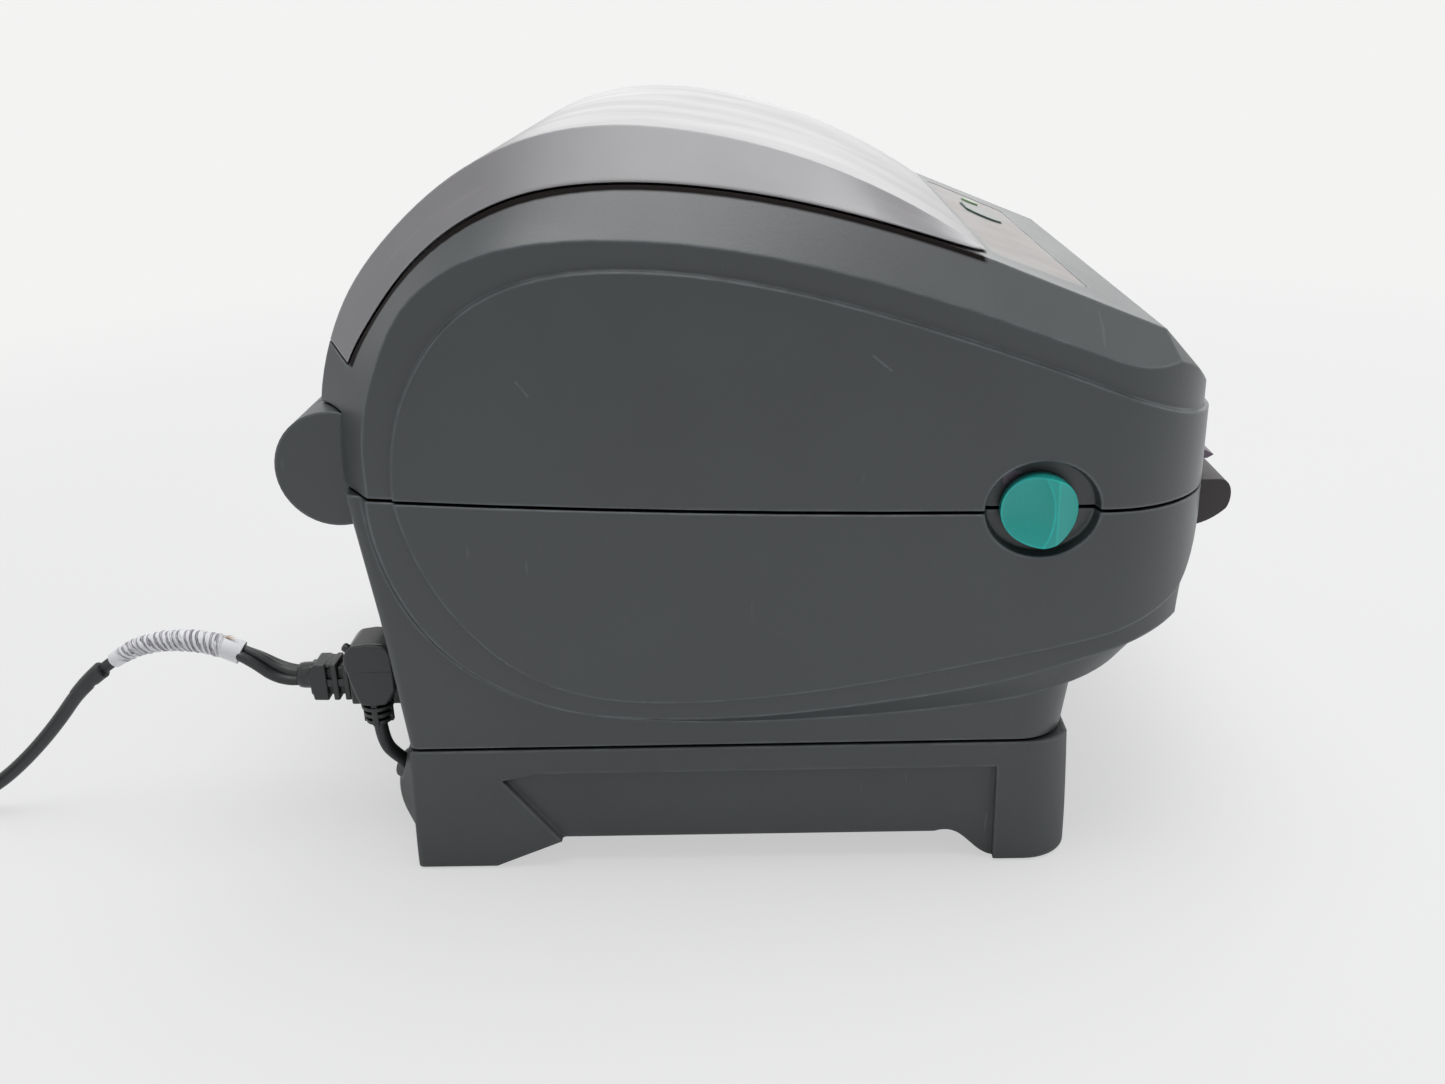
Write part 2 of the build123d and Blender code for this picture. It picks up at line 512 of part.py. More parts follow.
def make_lower_case():
    low_ring = closed([RING_LOW], (BOW_Y, RING_LOW[-1][1]))
    low_bevel = closed([BEVEL_LOW], (BOW_Y, BEVEL_LOW[-1][1]))
    outer = both(RING, HALF_WIDTH) & front_rounded(HALF_WIDTH, RING_FRONT_Y, CORNER_R - PANEL_PROUD)
    outer += both(PANEL, PANEL_X) & front_rounded(PANEL_X, FRONT_Y, CORNER_R)
    outer += both(low_bevel, BEVEL_X)
    outer += band(low_bevel, BEVEL_X, low_ring, HALF_WIDTH)
    outer += bow()
    outer += pedestal()
    hollow = both(inset(RING, CASE_WALL), INNER_X) & front_rounded(
        INNER_X, RING_FRONT_Y + CASE_WALL, CORNER_R - PANEL_PROUD - CASE_WALL)
    hollow += both(inset(low_bevel, CASE_WALL), BEVEL_X - CASE_WALL)
    hollow += bow(CASE_WALL)
    hollow += block(10 - HALF_WIDTH, HALF_WIDTH - 10, BOW_Y - 1, BOW_Y + CASE_WALL + 1,
                    BEVEL_BOW_Z + CASE_WALL + 0.6, 60)
    hollow += pedestal(CASE_WALL)
    foot_x = BASE_HALF - FOOT_IN
    foot = plan(foot_x, -65.2 + FOOT_IN, 82.0 - FOOT_IN, BASE_CORNER_R - FOOT_IN,
                REAR_CORNER_R - FOOT_IN + 1, DECK_Z, PEDESTAL_Z + 1)
    well = plan(foot_x - CASE_WALL, -65.2 + FOOT_IN + CASE_WALL, 82.0 - FOOT_IN - CASE_WALL, 5.0, 1.5,
                DECK_Z + FLOOR_T, PEDESTAL_Z + CASE_WALL + 1)
    shell = outer + foot - hollow - well
    shell += latch_pads() & hollow
    shell -= two_sides(dish(PANEL_X - DISH_DEPTH))
    shell &= beside_seam(-SEAM / 2, 0)
    # hinge knuckles, and room for the lid's barrel between them
    shell -= bar_x(HINGE_Y, HINGE_Z, HINGE_R + HINGE_GAP, -KNUCKLE_IN, KNUCKLE_IN)
    for side in (-1, 1):
        shell += bar_x(HINGE_Y, HINGE_Z, HINGE_R, side * KNUCKLE_IN, side * KNUCKLE_OUT)
        shell -= bar_x(HINGE_Y, HINGE_Z, HINGE_PIN_R, side * (KNUCKLE_IN - 1),
                       side * (KNUCKLE_OUT - 1.5))
    # slots of the latch stems
    stem = LATCH_STEM / 2 + PLAY
    shell -= two_sides(block(-HALF_WIDTH - 8, 12 - HALF_WIDTH, LATCH_Y - stem - LATCH_TRAVEL,
                             LATCH_Y + stem, STEM_LOW - PLAY, 100))
    # paper slot at the front, above the bezel
    shell -= block(-TEAR_HALF - PLAY, TEAR_HALF + PLAY, FRONT_Y - 5, -90, BEZEL_TOP_Z, 100)
    # openings for the connectors and the switch
    shell -= rear_hole(DATA_X, DATA_W + 2 * PLAY, PORT_Z, PORT_Z + DATA_H + PLAY)
    shell -= rear_hole(JACK_X, JACK_W + 2 * PLAY, JACK_AXIS_Z - JACK_H / 2,
                       JACK_AXIS_Z + JACK_H / 2 + PLAY)
    shell -= rear_hole(SERIAL_X, SERIAL_W + 2 * PLAY, PORT_Z, PORT_Z + SERIAL_H + PLAY)
    shell -= rear_hole(PARALLEL_X, PARALLEL_W + 2 * PLAY, PORT_Z, PORT_Z + PARALLEL_H + PLAY)
    shell -= rear_hole(SWITCH_X, SWITCH_W + 2 * PLAY, SWITCH_Z - SWITCH_H / 2,
                       SWITCH_Z + SWITCH_H / 2 + PLAY)
    # shelf under the power jack, stops behind the latch springs
    shell += block(JACK_X - 4, JACK_X + 4, 70.0, 82.0, JACK_AXIS_Z - JACK_H / 2 - 3,
                   JACK_AXIS_Z - JACK_H / 2)
    shell += two_sides(block(-INNER_X - 0.5, SPRING_X + 3, SPRING_REAR_Y, SPRING_REAR_Y + 4,
                             SPRING_Z - 3, SPRING_Z + 3))
    # board standoffs and the pinion's pin
    for x in (-PLATEN_HALF, 0, PLATEN_HALF):
        for y in (46.0, 66.0):
            shell += post(x, y, 3, DECK_Z + FLOOR_T - 0.5, PORT_BOARD_Z)
    shell += post(0, ROLL_Y, HOLDER_PIN_R, DECK_Z + FLOOR_T - 0.5, RACK_Z + RACK_T)
    for x in (-FIXING_X, FIXING_X):
        shell -= post(x, -30.0, SCREW_R, DECK_Z - 1, DECK_Z + FLOOR_T + 1)
    return shell


# ---------------------------------------------------------------- power base
BASE_SIDE = [   # side outline with the arch between the two feet
    [(BASE_REAR_Y, BASE_TOP_Z), (BASE_FRONT_Y + BASE_LEAN, BASE_TOP_Z)],
    [(BASE_FRONT_Y + BASE_LEAN, BASE_TOP_Z), (BASE_FRONT_Y, FOOT_Z)],
    [(BASE_FRONT_Y, FOOT_Z), (-52.0, FOOT_Z)],
    [(-52.0, FOOT_Z), (-47.0, 2.6), (-43.0, 6.4), (-37.0, ARCH_Z)],
    [(-37.0, ARCH_Z), (48.6, ARCH_Z)], [(48.6, ARCH_Z), (65.0, FOOT_Z)],
    [(65.0, FOOT_Z), (BASE_REAR_Y + REAR_LEAN, FOOT_Z)],
    [(BASE_REAR_Y + REAR_LEAN, FOOT_Z), (BASE_REAR_Y, BASE_TOP_Z)]]
PANEL_RECESS = 1.6
BASE_INNER_Y = BASE_FRONT_Y + CASE_WALL + BASE_LEAN / 3
RECESS_SIDE = [   # shallow recess in the base's side: square at the front, ramped at the rear
    [(62.0, 23.4), (54.0, 25.2)], [(54.0, 25.2), (-50.5, 25.2)], [(-50.5, 25.2), (-50.5, -5.0)],
    [(-50.5, -5.0), (40.0, -5.0)], [(40.0, -5.0), (62.0, 23.4)]]
BULGE = [[(BASE_REAR_Y - 6, 28.5), (BASE_REAR_Y + 2.0, 27.6)],
         [(BASE_REAR_Y + 2.0, 27.6), (88.0, 21.5), (89.4, 13.0), (87.0, 4.6), (84.4, FOOT_Z)],
         [(84.4, FOOT_Z), (BASE_REAR_Y - 6, FOOT_Z)], [(BASE_REAR_Y - 6, FOOT_Z), (BASE_REAR_Y - 6, 28.5)]]
BULGE_FLAT, BULGE_END = BASE_HALF - 13.0, BASE_HALF - 3.0
INLET_X, INLET_W, INLET_H, INLET_DEEP = HALF_WIDTH - 44.0, 27.0, 19.0, 24.0
INLET_Z, INLET_FACE_Y = 14.6, 88.0
GLAND_MOUTH = (JACK_X + 4.3, 86.6, 19.2)
GLAND_AXIS = (-0.35, 0.62, 0.70)
GLAND_R = 4.0
GLAND_IN, GLAND_OUT, GLAND_SEAT = 7.0, 1.6, 2.0
PLATE_Z = 9.0
POST_X, POST_FRONT_Y, POST_REAR_Y = BASE_HALF - 15.0, -56.0, 71.0
POST_W, POST_D = 22.0, 15.0
SCREW_X, SCREW_FRONT_Y, SCREW_REAR_Y = 46.0, -40.0, 56.0
SUPPLY = (17.0 - BASE_HALF, 30.0, -35.0, 50.0)
SUPPLY_TOP = 23.5


def at_gland(shape):
    """A piece drawn on the Z axis, at the gland's mouth with its Z along the lead."""
    return Plane(origin=GLAND_MOUTH, x_dir=(1, 0, 0.5), z_dir=GLAND_AXIS) * shape


def corners(x, front, rear):
    return [(sx * x, y) for sx in (-1, 1) for y in (front, rear)]


def make_power_base():
    outline = plan(BASE_HALF, BASE_FRONT_Y, BASE_REAR_Y + REAR_LEAN, BASE_CORNER_R, BASE_REAR_R)
    small = [[(y if y < BASE_REAR_Y + 0.1 else BASE_REAR_Y + (y - BASE_REAR_Y) * 0.05, z) for y, z in run]
             for run in BULGE]
    bulge = both(BULGE, BULGE_FLAT) + band(BULGE, BULGE_FLAT, small, BULGE_END)
    outer = (both(BASE_SIDE, BASE_HALF) & outline) + bulge
    recess = slab(RECESS_SIDE, -BASE_HALF - 1, -BASE_HALF + PANEL_RECESS)
    outer -= two_sides(recess)
    cavity_x = BASE_HALF - CASE_WALL - PANEL_RECESS
    cavity = plan(cavity_x, BASE_INNER_Y, BASE_REAR_Y - CASE_WALL,
                  BASE_CORNER_R - CASE_WALL, 2.0, -1, DECK_Z - DECK_T)
    shell = outer - cavity
    for x, y in corners(POST_X, POST_FRONT_Y, POST_REAR_Y):
        shell += block(x - POST_W / 2, x + POST_W / 2, y - POST_D / 2, y + POST_D / 2, FOOT_Z,
                       PLATE_Z + PLATE_T) & outline
        shell -= post(x, y, PAD_R + 0.1, -1, PAD_T)
    for x, y in corners(SCREW_X, SCREW_FRONT_Y, SCREW_REAR_Y):
        shell += post(x, y, 4.0, PLATE_Z + PLATE_T, DECK_Z - DECK_T + 0.5)
        shell -= post(x, y, SCREW_R, PLATE_Z, PLATE_Z + 9)
    # recess in which the printer's foot stands, and cable and inlet openings in the rear wall
    shell -= plan(BASE_HALF - FOOT_IN + PLAY, -65.2 + FOOT_IN - PLAY, 82.0 - FOOT_IN + PLAY,
                  BASE_CORNER_R - FOOT_IN, REAR_CORNER_R - FOOT_IN + 1, DECK_Z, BASE_TOP_Z + 5)
    shell -= block(INLET_X - INLET_W / 2, INLET_X + INLET_W / 2, BASE_REAR_Y - 10, 100,
                   INLET_Z - INLET_H / 2, INLET_Z + INLET_H / 2)
    shell -= at_gland(Pos(0, 0, 1) * Cylinder(GLAND_R, 2 * GLAND_IN + 2))
    # the printer is fixed through the deck
    for x in (-FIXING_X, FIXING_X):
        shell -= post(x, -30.0, SCREW_R + PLAY, DECK_Z - DECK_T - 1, DECK_Z + 1)
    return shell


def bottom_screw(x, y, top):
    return post(x, y, SCREW_R, top, PLATE_Z + PLATE_T + 7) + post(x, y, 2.8, top - 1.6, top)


def make_base_parts():
    keep("power_base", make_power_base())
    plate = plan(BASE_HALF - CASE_WALL - PANEL_RECESS - PLAY, BASE_INNER_Y + PLAY,
                 BASE_REAR_Y - CASE_WALL - PLAY, BASE_CORNER_R - CASE_WALL, 2.0, PLATE_Z,
                 PLATE_Z + PLATE_T)
    inner_x, inner_front = POST_X - POST_W / 2 - PLAY, POST_FRONT_Y + POST_D / 2 + PLAY
    inner_rear = POST_REAR_Y - POST_D / 2 - PLAY
    plate -= two_sides(block(inner_x, BASE_HALF + 10, -90, inner_front, 0, 20))
    plate -= two_sides(block(inner_x, BASE_HALF + 10, inner_rear, 100, 0, 20))
    plate -= block(INLET_X - INLET_W / 2 - PLAY, INLET_X + INLET_W / 2 + PLAY,
                   INLET_FACE_Y - INLET_DEEP - PLAY, 100, 0, 20)
    for x, y in corners(SCREW_X, SCREW_FRONT_Y, SCREW_REAR_Y):
        plate -= post(x, y, SCREW_R + 0.1, 0, 20)
    for k in range(9):
        plate -= block(-20, 40, -30 + 7 * k, -27 + 7 * k, 0, 20)
    keep("base_plate", plate)
    x0, x1, y0, y1 = SUPPLY
    supply = fillet(block(x0, x1, y0, y1, PLATE_Z + PLATE_T, SUPPLY_TOP).edges().filter_by(Axis.Z), 3)
    keep("power_supply", supply)
    keep("base_screws", *[bottom_screw(x, y, PLATE_Z)
                          for x, y in corners(SCREW_X, SCREW_FRONT_Y, SCREW_REAR_Y)])
    keep("rubber_feet", *[post(x, y, PAD_R, 0, PAD_T)
                          for x, y in corners(POST_X, POST_FRONT_Y, POST_REAR_Y)])
    face_y = INLET_FACE_Y
    inlet = block(INLET_X - INLET_W / 2, INLET_X + INLET_W / 2, face_y - INLET_DEEP, face_y,
                  INLET_Z - INLET_H / 2, INLET_Z + INLET_H / 2)
    inlet -= block(INLET_X - 11.5, INLET_X + 11.5, face_y - 17, face_y + 1, INLET_Z - 7.5, INLET_Z + 7.5)
    for dx, dz in ((-7, -1.5), (0, 2.0), (7, -1.5)):
        inlet += block(INLET_X + dx - 1, INLET_X + dx + 1, face_y - 17.5, face_y - 4,
                       INLET_Z + dz - 2, INLET_Z + dz + 2)
    keep("mains_inlet", inlet)
    gland = at_gland(Pos(0, 0, (GLAND_OUT - GLAND_IN) / 2) * Cylinder(GLAND_R - RUN, GLAND_OUT + GLAND_IN))
    gland -= at_gland(Pos(0, 0, GLAND_OUT) * Cylinder(DC_LEAD_D / 2 + RUN, 2 * GLAND_SEAT))
    keep("cable_gland", gland)


# ---------------------------------------------------------------- frame, drive and electronics
def make_frame():
    cheek = Polyline((FRAME_Y0, 72.0), (-84.6, 66.0), (-76.0, 57.5), (-60.0, 48.0), (-57.0, DECK_Z + FLOOR_T),
                     (74.8, DECK_Z + FLOOR_T), (77.6, 45.0), (FRAME_Y1, FRAME_TOP_Z),
                     (FRAME_Y0, FRAME_TOP_Z), close=True)
    plate = extrude(Plane.YZ * make_face(cheek), amount=CHEEK_T)
    frame = Pos(CHEEK_X, 0, 0) * plate + Pos(-CHEEK_X - CHEEK_T, 0, 0) * plate
    roll = bar_x(ROLL_Y, ROLL_Z, TUB_R, -100, 100)
    tub = bar_x(ROLL_Y, ROLL_Z, TUB_R + TUB_WALL, -CHEEK_X, CHEEK_X)
    tub &= block(-100, 100, -60, FRAME_Y1, 0, FRAME_TOP_Z)
    deck_y = ROLL_Y - math.sqrt(TUB_R ** 2 - (ROLL_Z - FRAME_TOP_Z) ** 2)
    deck = block(-CHEEK_X, CHEEK_X, -68.0, deck_y, FRAME_TOP_Z - 2, FRAME_TOP_Z)
    frame += tub + deck - roll
    # slots in which the roll holders slide
    neck = HOLDER_NECK / 2 + PLAY
    frame -= two_sides(block(HOLDER_X - 0.5, CHEEK_X, ROLL_Y - neck, ROLL_Y + neck, 30, 60))
    # seats of the platen, the idler's stud and the motor's shaft
    for side in (-1, 1):
        frame -= bar_x(PLATEN_Y, PLATEN_Z, BEARING_R, side * (CHEEK_X - 10), side * (CHEEK_X + 10))
    frame -= bar_x(MOTOR_Y, MOTOR_Z, 4.0, CHEEK_X - 1, CHEEK_X + CHEEK_T + 1)
    frame -= bar_x(IDLER_Y, IDLER_Z, 2.0, CHEEK_X - 1, CHEEK_X + CHEEK_T + 1)
    # the paper sensor's pocket
    frame -= block(-9, 9, -58, -48, 70, 90)
    return frame


def idler_centre():
    """Meets the platen's gear and the motor's pinion, above the line between them."""
    near = MODULE * (PLATEN_TEETH + IDLER_TEETH) / 2
    far = MODULE * (IDLER_TEETH + PINION_TEETH) / 2
    dy, dz = MOTOR_Y - PLATEN_Y, MOTOR_Z - PLATEN_Z
    apart = math.hypot(dy, dz)
    along = (apart ** 2 + near ** 2 - far ** 2) / (2 * apart)
    up = math.sqrt(max(0.0, near ** 2 - along ** 2))
    uy, uz = dy / apart, dz / apart
    return PLATEN_Y + along * uy + up * -uz, PLATEN_Z + along * uz + up * uy


IDLER_Y, IDLER_Z = idler_centre()


def direction(y0, z0, y1, z1):
    return math.degrees(math.atan2(z1 - z0, y1 - y0))


def make_drive():
    to_idler = direction(PLATEN_Y, PLATEN_Z, IDLER_Y, IDLER_Z)
    to_motor = direction(IDLER_Y, IDLER_Z, MOTOR_Y, MOTOR_Z)
    idler_pitch, pinion_pitch = 360 / IDLER_TEETH, 360 / PINION_TEETH
    idler_turned = to_idler + 180 - 0.5 * idler_pitch
    phase = ((to_motor - idler_turned) / idler_pitch) % 1
    pinion_turned = to_motor + 180 - (0.5 - phase) * pinion_pitch
    x1 = GEAR_X + GEAR_T
    shaft = bar_x(PLATEN_Y, PLATEN_Z, SHAFT_R, -CHEEK_X - CHEEK_T - 3, x1 + 0.8)
    keep("platen_shaft", shaft)
    roller = bar_x(PLATEN_Y, PLATEN_Z, PLATEN_R, -PLATEN_HALF, PLATEN_HALF)
    keep("platen_roller", roller - bar_x(PLATEN_Y, PLATEN_Z, SHAFT_R, -CHEEK_X, CHEEK_X))
    platen_gear = facing_x(gear(PLATEN_TEETH, GEAR_T, SHAFT_R, to_idler), PLATEN_Y, PLATEN_Z, GEAR_X)
    keep("platen_gear", platen_gear)
    idler = facing_x(gear(IDLER_TEETH, GEAR_T, 2.0 + RUN, idler_turned), IDLER_Y, IDLER_Z, GEAR_X)
    keep("idler_gear", idler)
    keep("idler_stud", bar_x(IDLER_Y, IDLER_Z, 2.0, CHEEK_X, x1 + PLAY)
         + bar_x(IDLER_Y, IDLER_Z, 3.2, x1 + PLAY, x1 + 1.5)
         + bar_x(IDLER_Y, IDLER_Z, 3.2, CHEEK_X + CHEEK_T, GEAR_X - PLAY))
    rotor = bar_x(MOTOR_Y, MOTOR_Z, 1.5, CHEEK_X - 8, GEAR_X) + facing_x(
        gear(PINION_TEETH, GEAR_T, 0.01, pinion_turned), MOTOR_Y, MOTOR_Z, GEAR_X)
    keep("motor_pinion", rotor)
    body = bar_x(MOTOR_Y, MOTOR_Z, MOTOR_R, CHEEK_X - MOTOR_LEN, CHEEK_X)
    keep("motor", body - bar_x(MOTOR_Y, MOTOR_Z, 1.5 + RUN, CHEEK_X - 8.3, CHEEK_X + 1))
    bearings = []
    for side in (-1, 1):
        bush = bar_x(PLATEN_Y, PLATEN_Z, BEARING_R, side * (CHEEK_X - 1.2), side * (CHEEK_X + CHEEK_T))
        bush += bar_x(PLATEN_Y, PLATEN_Z, BEARING_R + 1.5, side * (CHEEK_X - 2.4), side * (CHEEK_X))
        bearings.append(bush - bar_x(PLATEN_Y, PLATEN_Z, SHAFT_R + RUN, side * (CHEEK_X - 10),
                                     side * (CHEEK_X + 10)))
    keep("platen_bearings", *bearings)


def make_holders():
    reach = MODULE * HOLDER_TEETH / 2
    pitch = math.pi * MODULE
    pinion = Pos(0, ROLL_Y, RACK_Z) * gear(HOLDER_TEETH, RACK_T, HOLDER_PIN_R + RUN, 90)
    keep("holder_pinion", pinion)
    rack_end = HOLDER_TRAVEL + 5
    count = int((rack_end + HOLDER_X) / pitch)
    rack = block(-HOLDER_X, rack_end, reach + 1.2, reach + 5, RACK_Z, RACK_Z + RACK_T)
    for k in range(-count, count + 1):
        x = (k + 0.5) * pitch
        if -HOLDER_X < x - 1 and x + 1 < rack_end:
            face = make_face(Polyline((x - 0.30 * pitch, reach + 1.2), (x - 0.11 * pitch, reach - 0.85),
                                      (x + 0.11 * pitch, reach - 0.85), (x + 0.30 * pitch, reach + 1.2),
                                      close=True))
            rack += Pos(0, 0, RACK_Z) * extrude(face, amount=RACK_T)
    neck = HOLDER_NECK / 2
    arm = block(-HOLDER_X - HOLDER_T, -HOLDER_X, -neck, reach + 5, RACK_Z, RACK_Z + 7)
    arm += block(-HOLDER_X - HOLDER_T, -HOLDER_X, -neck, neck, RACK_Z, ROLL_Z)
    blade = Plane.YZ * make_face(Polyline((-neck, 44.5), (neck, 44.5), (14, 56), (14, ROLL_Z), (-14, ROLL_Z),
                                          (-14, 56), close=True))
    arm += Pos(-HOLDER_X - HOLDER_T, 0, 0) * extrude(blade, amount=HOLDER_T)
    arm += bar_x(0, ROLL_Z, 14.0, -HOLDER_X - HOLDER_T, -HOLDER_X)
    inner = -HOLDER_X + HUB_LEN + PLAY
    axle = bar_x(0, ROLL_Z, HUB_PIN_R, -HOLDER_X, inner) + bar_x(0, ROLL_Z, HUB_PIN_R + 2, inner, inner + 1.5)
    arm = Pos(0, ROLL_Y, 0) * (arm + axle)
    rack = Pos(0, ROLL_Y, 0) * rack
    hub = bar_x(0, ROLL_Z, HUB_R, -HOLDER_X + PLAY, inner - PLAY) - bar_x(0, ROLL_Z, HUB_PIN_R + RUN, -60, 0)
    hub -= bar_x(0, ROLL_Z, HUB_R - 2, inner - PLAY - 2.5, 0) - bar_x(0, ROLL_Z, HUB_PIN_R + 3.5, -60, 0)
    hub = Pos(0, ROLL_Y, 0) * hub
    turn = Pos(0, ROLL_Y, 0) * Rot(0, 0, 180) * Pos(0, -ROLL_Y, 0)
    keep("holder_left", arm)
    keep("holder_right", turn * arm)
    keep("rack_left", rack)
    keep("rack_right", turn * rack)
    keep("hub_left", hub)
    keep("hub_right", turn * hub)


def port(x, width, height):
    """A socket's body on the board."""
    return block(x - width / 2, x + width / 2, PORT_FACE_Y - 16.0, PORT_FACE_Y, PORT_Z, PORT_Z + height)


def make_electronics():
    board = block(-CHEEK_X + PLAY, CHEEK_X - PLAY, 40, 75.8, PORT_BOARD_Z, PORT_Z)
    for x, y, w, d, h in ((-30, 56, 16, 16, 2.2), (-5, 60, 12, 10, 2.0), (22, 57, 18, 12, 2.4),
                          (45, 58, 8, 8, 5.0)):
        board += block(x - w / 2, x + w / 2, y - d / 2, y + d / 2, PORT_Z - 0.1, PORT_Z + h)
    keep("main_board", board)
    data = port(DATA_X, DATA_W, DATA_H) - block(DATA_X - 4.3, DATA_X + 4.3, 74, 90, PORT_Z + 1.5,
                                                PORT_Z + DATA_H - 1.5)
    keep("data_port", data)
    jack_x0, jack_x1 = JACK_X - JACK_W / 2, JACK_X + JACK_W / 2
    jack = block(jack_x0, jack_x1, 70.0, 84.4, JACK_AXIS_Z - JACK_H / 2, JACK_AXIS_Z + JACK_H / 2)
    jack -= Pos(JACK_X, 80, JACK_AXIS_Z) * Rot(90, 0, 0) * Cylinder(DC_BARREL_R, 12)
    keep("power_jack", jack)
    serial = port(SERIAL_X, SERIAL_W, SERIAL_H)
    serial -= block(SERIAL_X - 8.6, SERIAL_X + 8.6, 78, 90, PORT_Z + 2, PORT_Z + SERIAL_H - 2)
    for sx in (-12.5, 12.5):
        serial += Pos(SERIAL_X + sx, 85.5, PORT_Z + SERIAL_H / 2) * Rot(90, 0, 0) * Cylinder(2.3, 4)
    keep("serial_port", serial)
    parallel = port(PARALLEL_X, PARALLEL_W, PARALLEL_H)
    parallel -= block(PARALLEL_X - 21, PARALLEL_X + 21, 76, 90, PORT_Z + 2.5, PORT_Z + PARALLEL_H - 2.5)
    parallel += block(PARALLEL_X - 18, PARALLEL_X + 18, 75, 83, PORT_Z + 5.2, PORT_Z + PARALLEL_H - 5.2)
    keep("parallel_port", parallel)
    frame = block(SWITCH_X - SWITCH_W / 2, SWITCH_X + SWITCH_W / 2, 72.0, 85.4,
                  SWITCH_Z - SWITCH_H / 2, SWITCH_Z + SWITCH_H / 2)
    frame -= block(SWITCH_X - SWITCH_W / 2 + 1.2, SWITCH_X + SWITCH_W / 2 - 1.2, 75.0, 90.0,
                   SWITCH_Z - SWITCH_H / 2 + 1.2, SWITCH_Z + SWITCH_H / 2 - 1.2)
    frame -= bar_x(ROCKER_Y, SWITCH_Z, 1.0 + RUN, SWITCH_X - SWITCH_W / 2 + 0.5, SWITCH_X + SWITCH_W / 2 - 0.5)
    keep("switch_frame", frame)
    rocker = Plane.YZ * make_face(Polyline(
        (ROCKER_Y - 2.5, SWITCH_Z - 3), (ROCKER_Y + 7.9, SWITCH_Z - 6.0), (ROCKER_Y + 5.6, SWITCH_Z + 0.4),
        (ROCKER_Y + 5.6, SWITCH_Z + 6.9), (ROCKER_Y - 2.5, SWITCH_Z + 3), close=True))
    half = SWITCH_W / 2 - 1.5
    rocker = Pos(SWITCH_X - half, 0, 0) * extrude(rocker, amount=2 * half)
    keep("power_switch", rocker + bar_x(ROCKER_Y, SWITCH_Z, 1.0, SWITCH_X - half - 0.8, SWITCH_X + half + 0.8))
    keep("paper_sensor", block(-8.7, 8.7, -57.7, -48.3, 78, FRAME_TOP_Z - 0.5)
         + block(-11, 11, -59, -47, 78, FRAME_TOP_Z - 2))


# ---------------------------------------------------------------- latches, lid pieces
def make_latch():
    """Left release latch: thumb knob outside, stem through the case, hook inside."""
    base = Plane(origin=(-LATCH_KNOB_IN, KNOB_Y, LATCH_Z), x_dir=(0, -1, 0), z_dir=(-1, 0, 0))
    knob = base * extrude(Ellipse(KNOB_W / 2, KNOB_H / 2), amount=LATCH_OUT - LATCH_KNOB_IN)
    # thumb scoop: a round hollow behind a curved crest, and a slope in front of it
    hollow = scale(Sphere(SCOOP_R), by=(1, 1, SCOOP_TALL))
    scoop = Pos(-LATCH_OUT - SCOOP_R + SCOOP_DEPTH, LATCH_Y + 4.0, LATCH_Z) * hollow
    front = Plane(origin=(-LATCH_OUT, LATCH_Y - 3.8, LATCH_Z), x_dir=(0, 0, 1),
                  z_dir=(-0.85, -0.53, 0)) * Pos(0, 0, 5) * Box(30, 30, 10)
    knob = knob - scoop - front
    stem = LATCH_STEM / 2
    hook_x = HOOK_X
    piece = knob + block(hook_x - 0.5, hook_x + 3.5, LATCH_Y - 5, SPRING_FRONT_Y,
                         LATCH_STEM_Z - 0.5, LATCH_STEM_Z + 4.3)
    piece += block(-LATCH_KNOB_IN - 0.5, hook_x, LATCH_Y - stem, LATCH_Y + stem, STEM_LOW, STEM_TOP)
    piece += block(hook_x, hook_x + 3, LATCH_Y - 5, LATCH_Y - 1, LATCH_STEM_Z - 4, HOOK_TOP)
    piece += block(hook_x, hook_x + 3, LATCH_Y - 5, HOOK_NOSE_Y, KEEPER_Z + KEEPER_R + 0.4, HOOK_TOP)
    return piece


def make_latches():
    left = make_latch()
    keep("latch_left", left)
    keep("latch_right", mirror(left, Plane.YZ))
    length = SPRING_REAR_Y - SPRING_FRONT_Y
    spring = Pos(SPRING_X, SPRING_FRONT_Y + length / 2, SPRING_Z) * Rot(90, 0, 0) * (
        Cylinder(1.9, length) - Cylinder(1.2, length))
    keep("latch_springs", spring, mirror(spring, Plane.YZ))


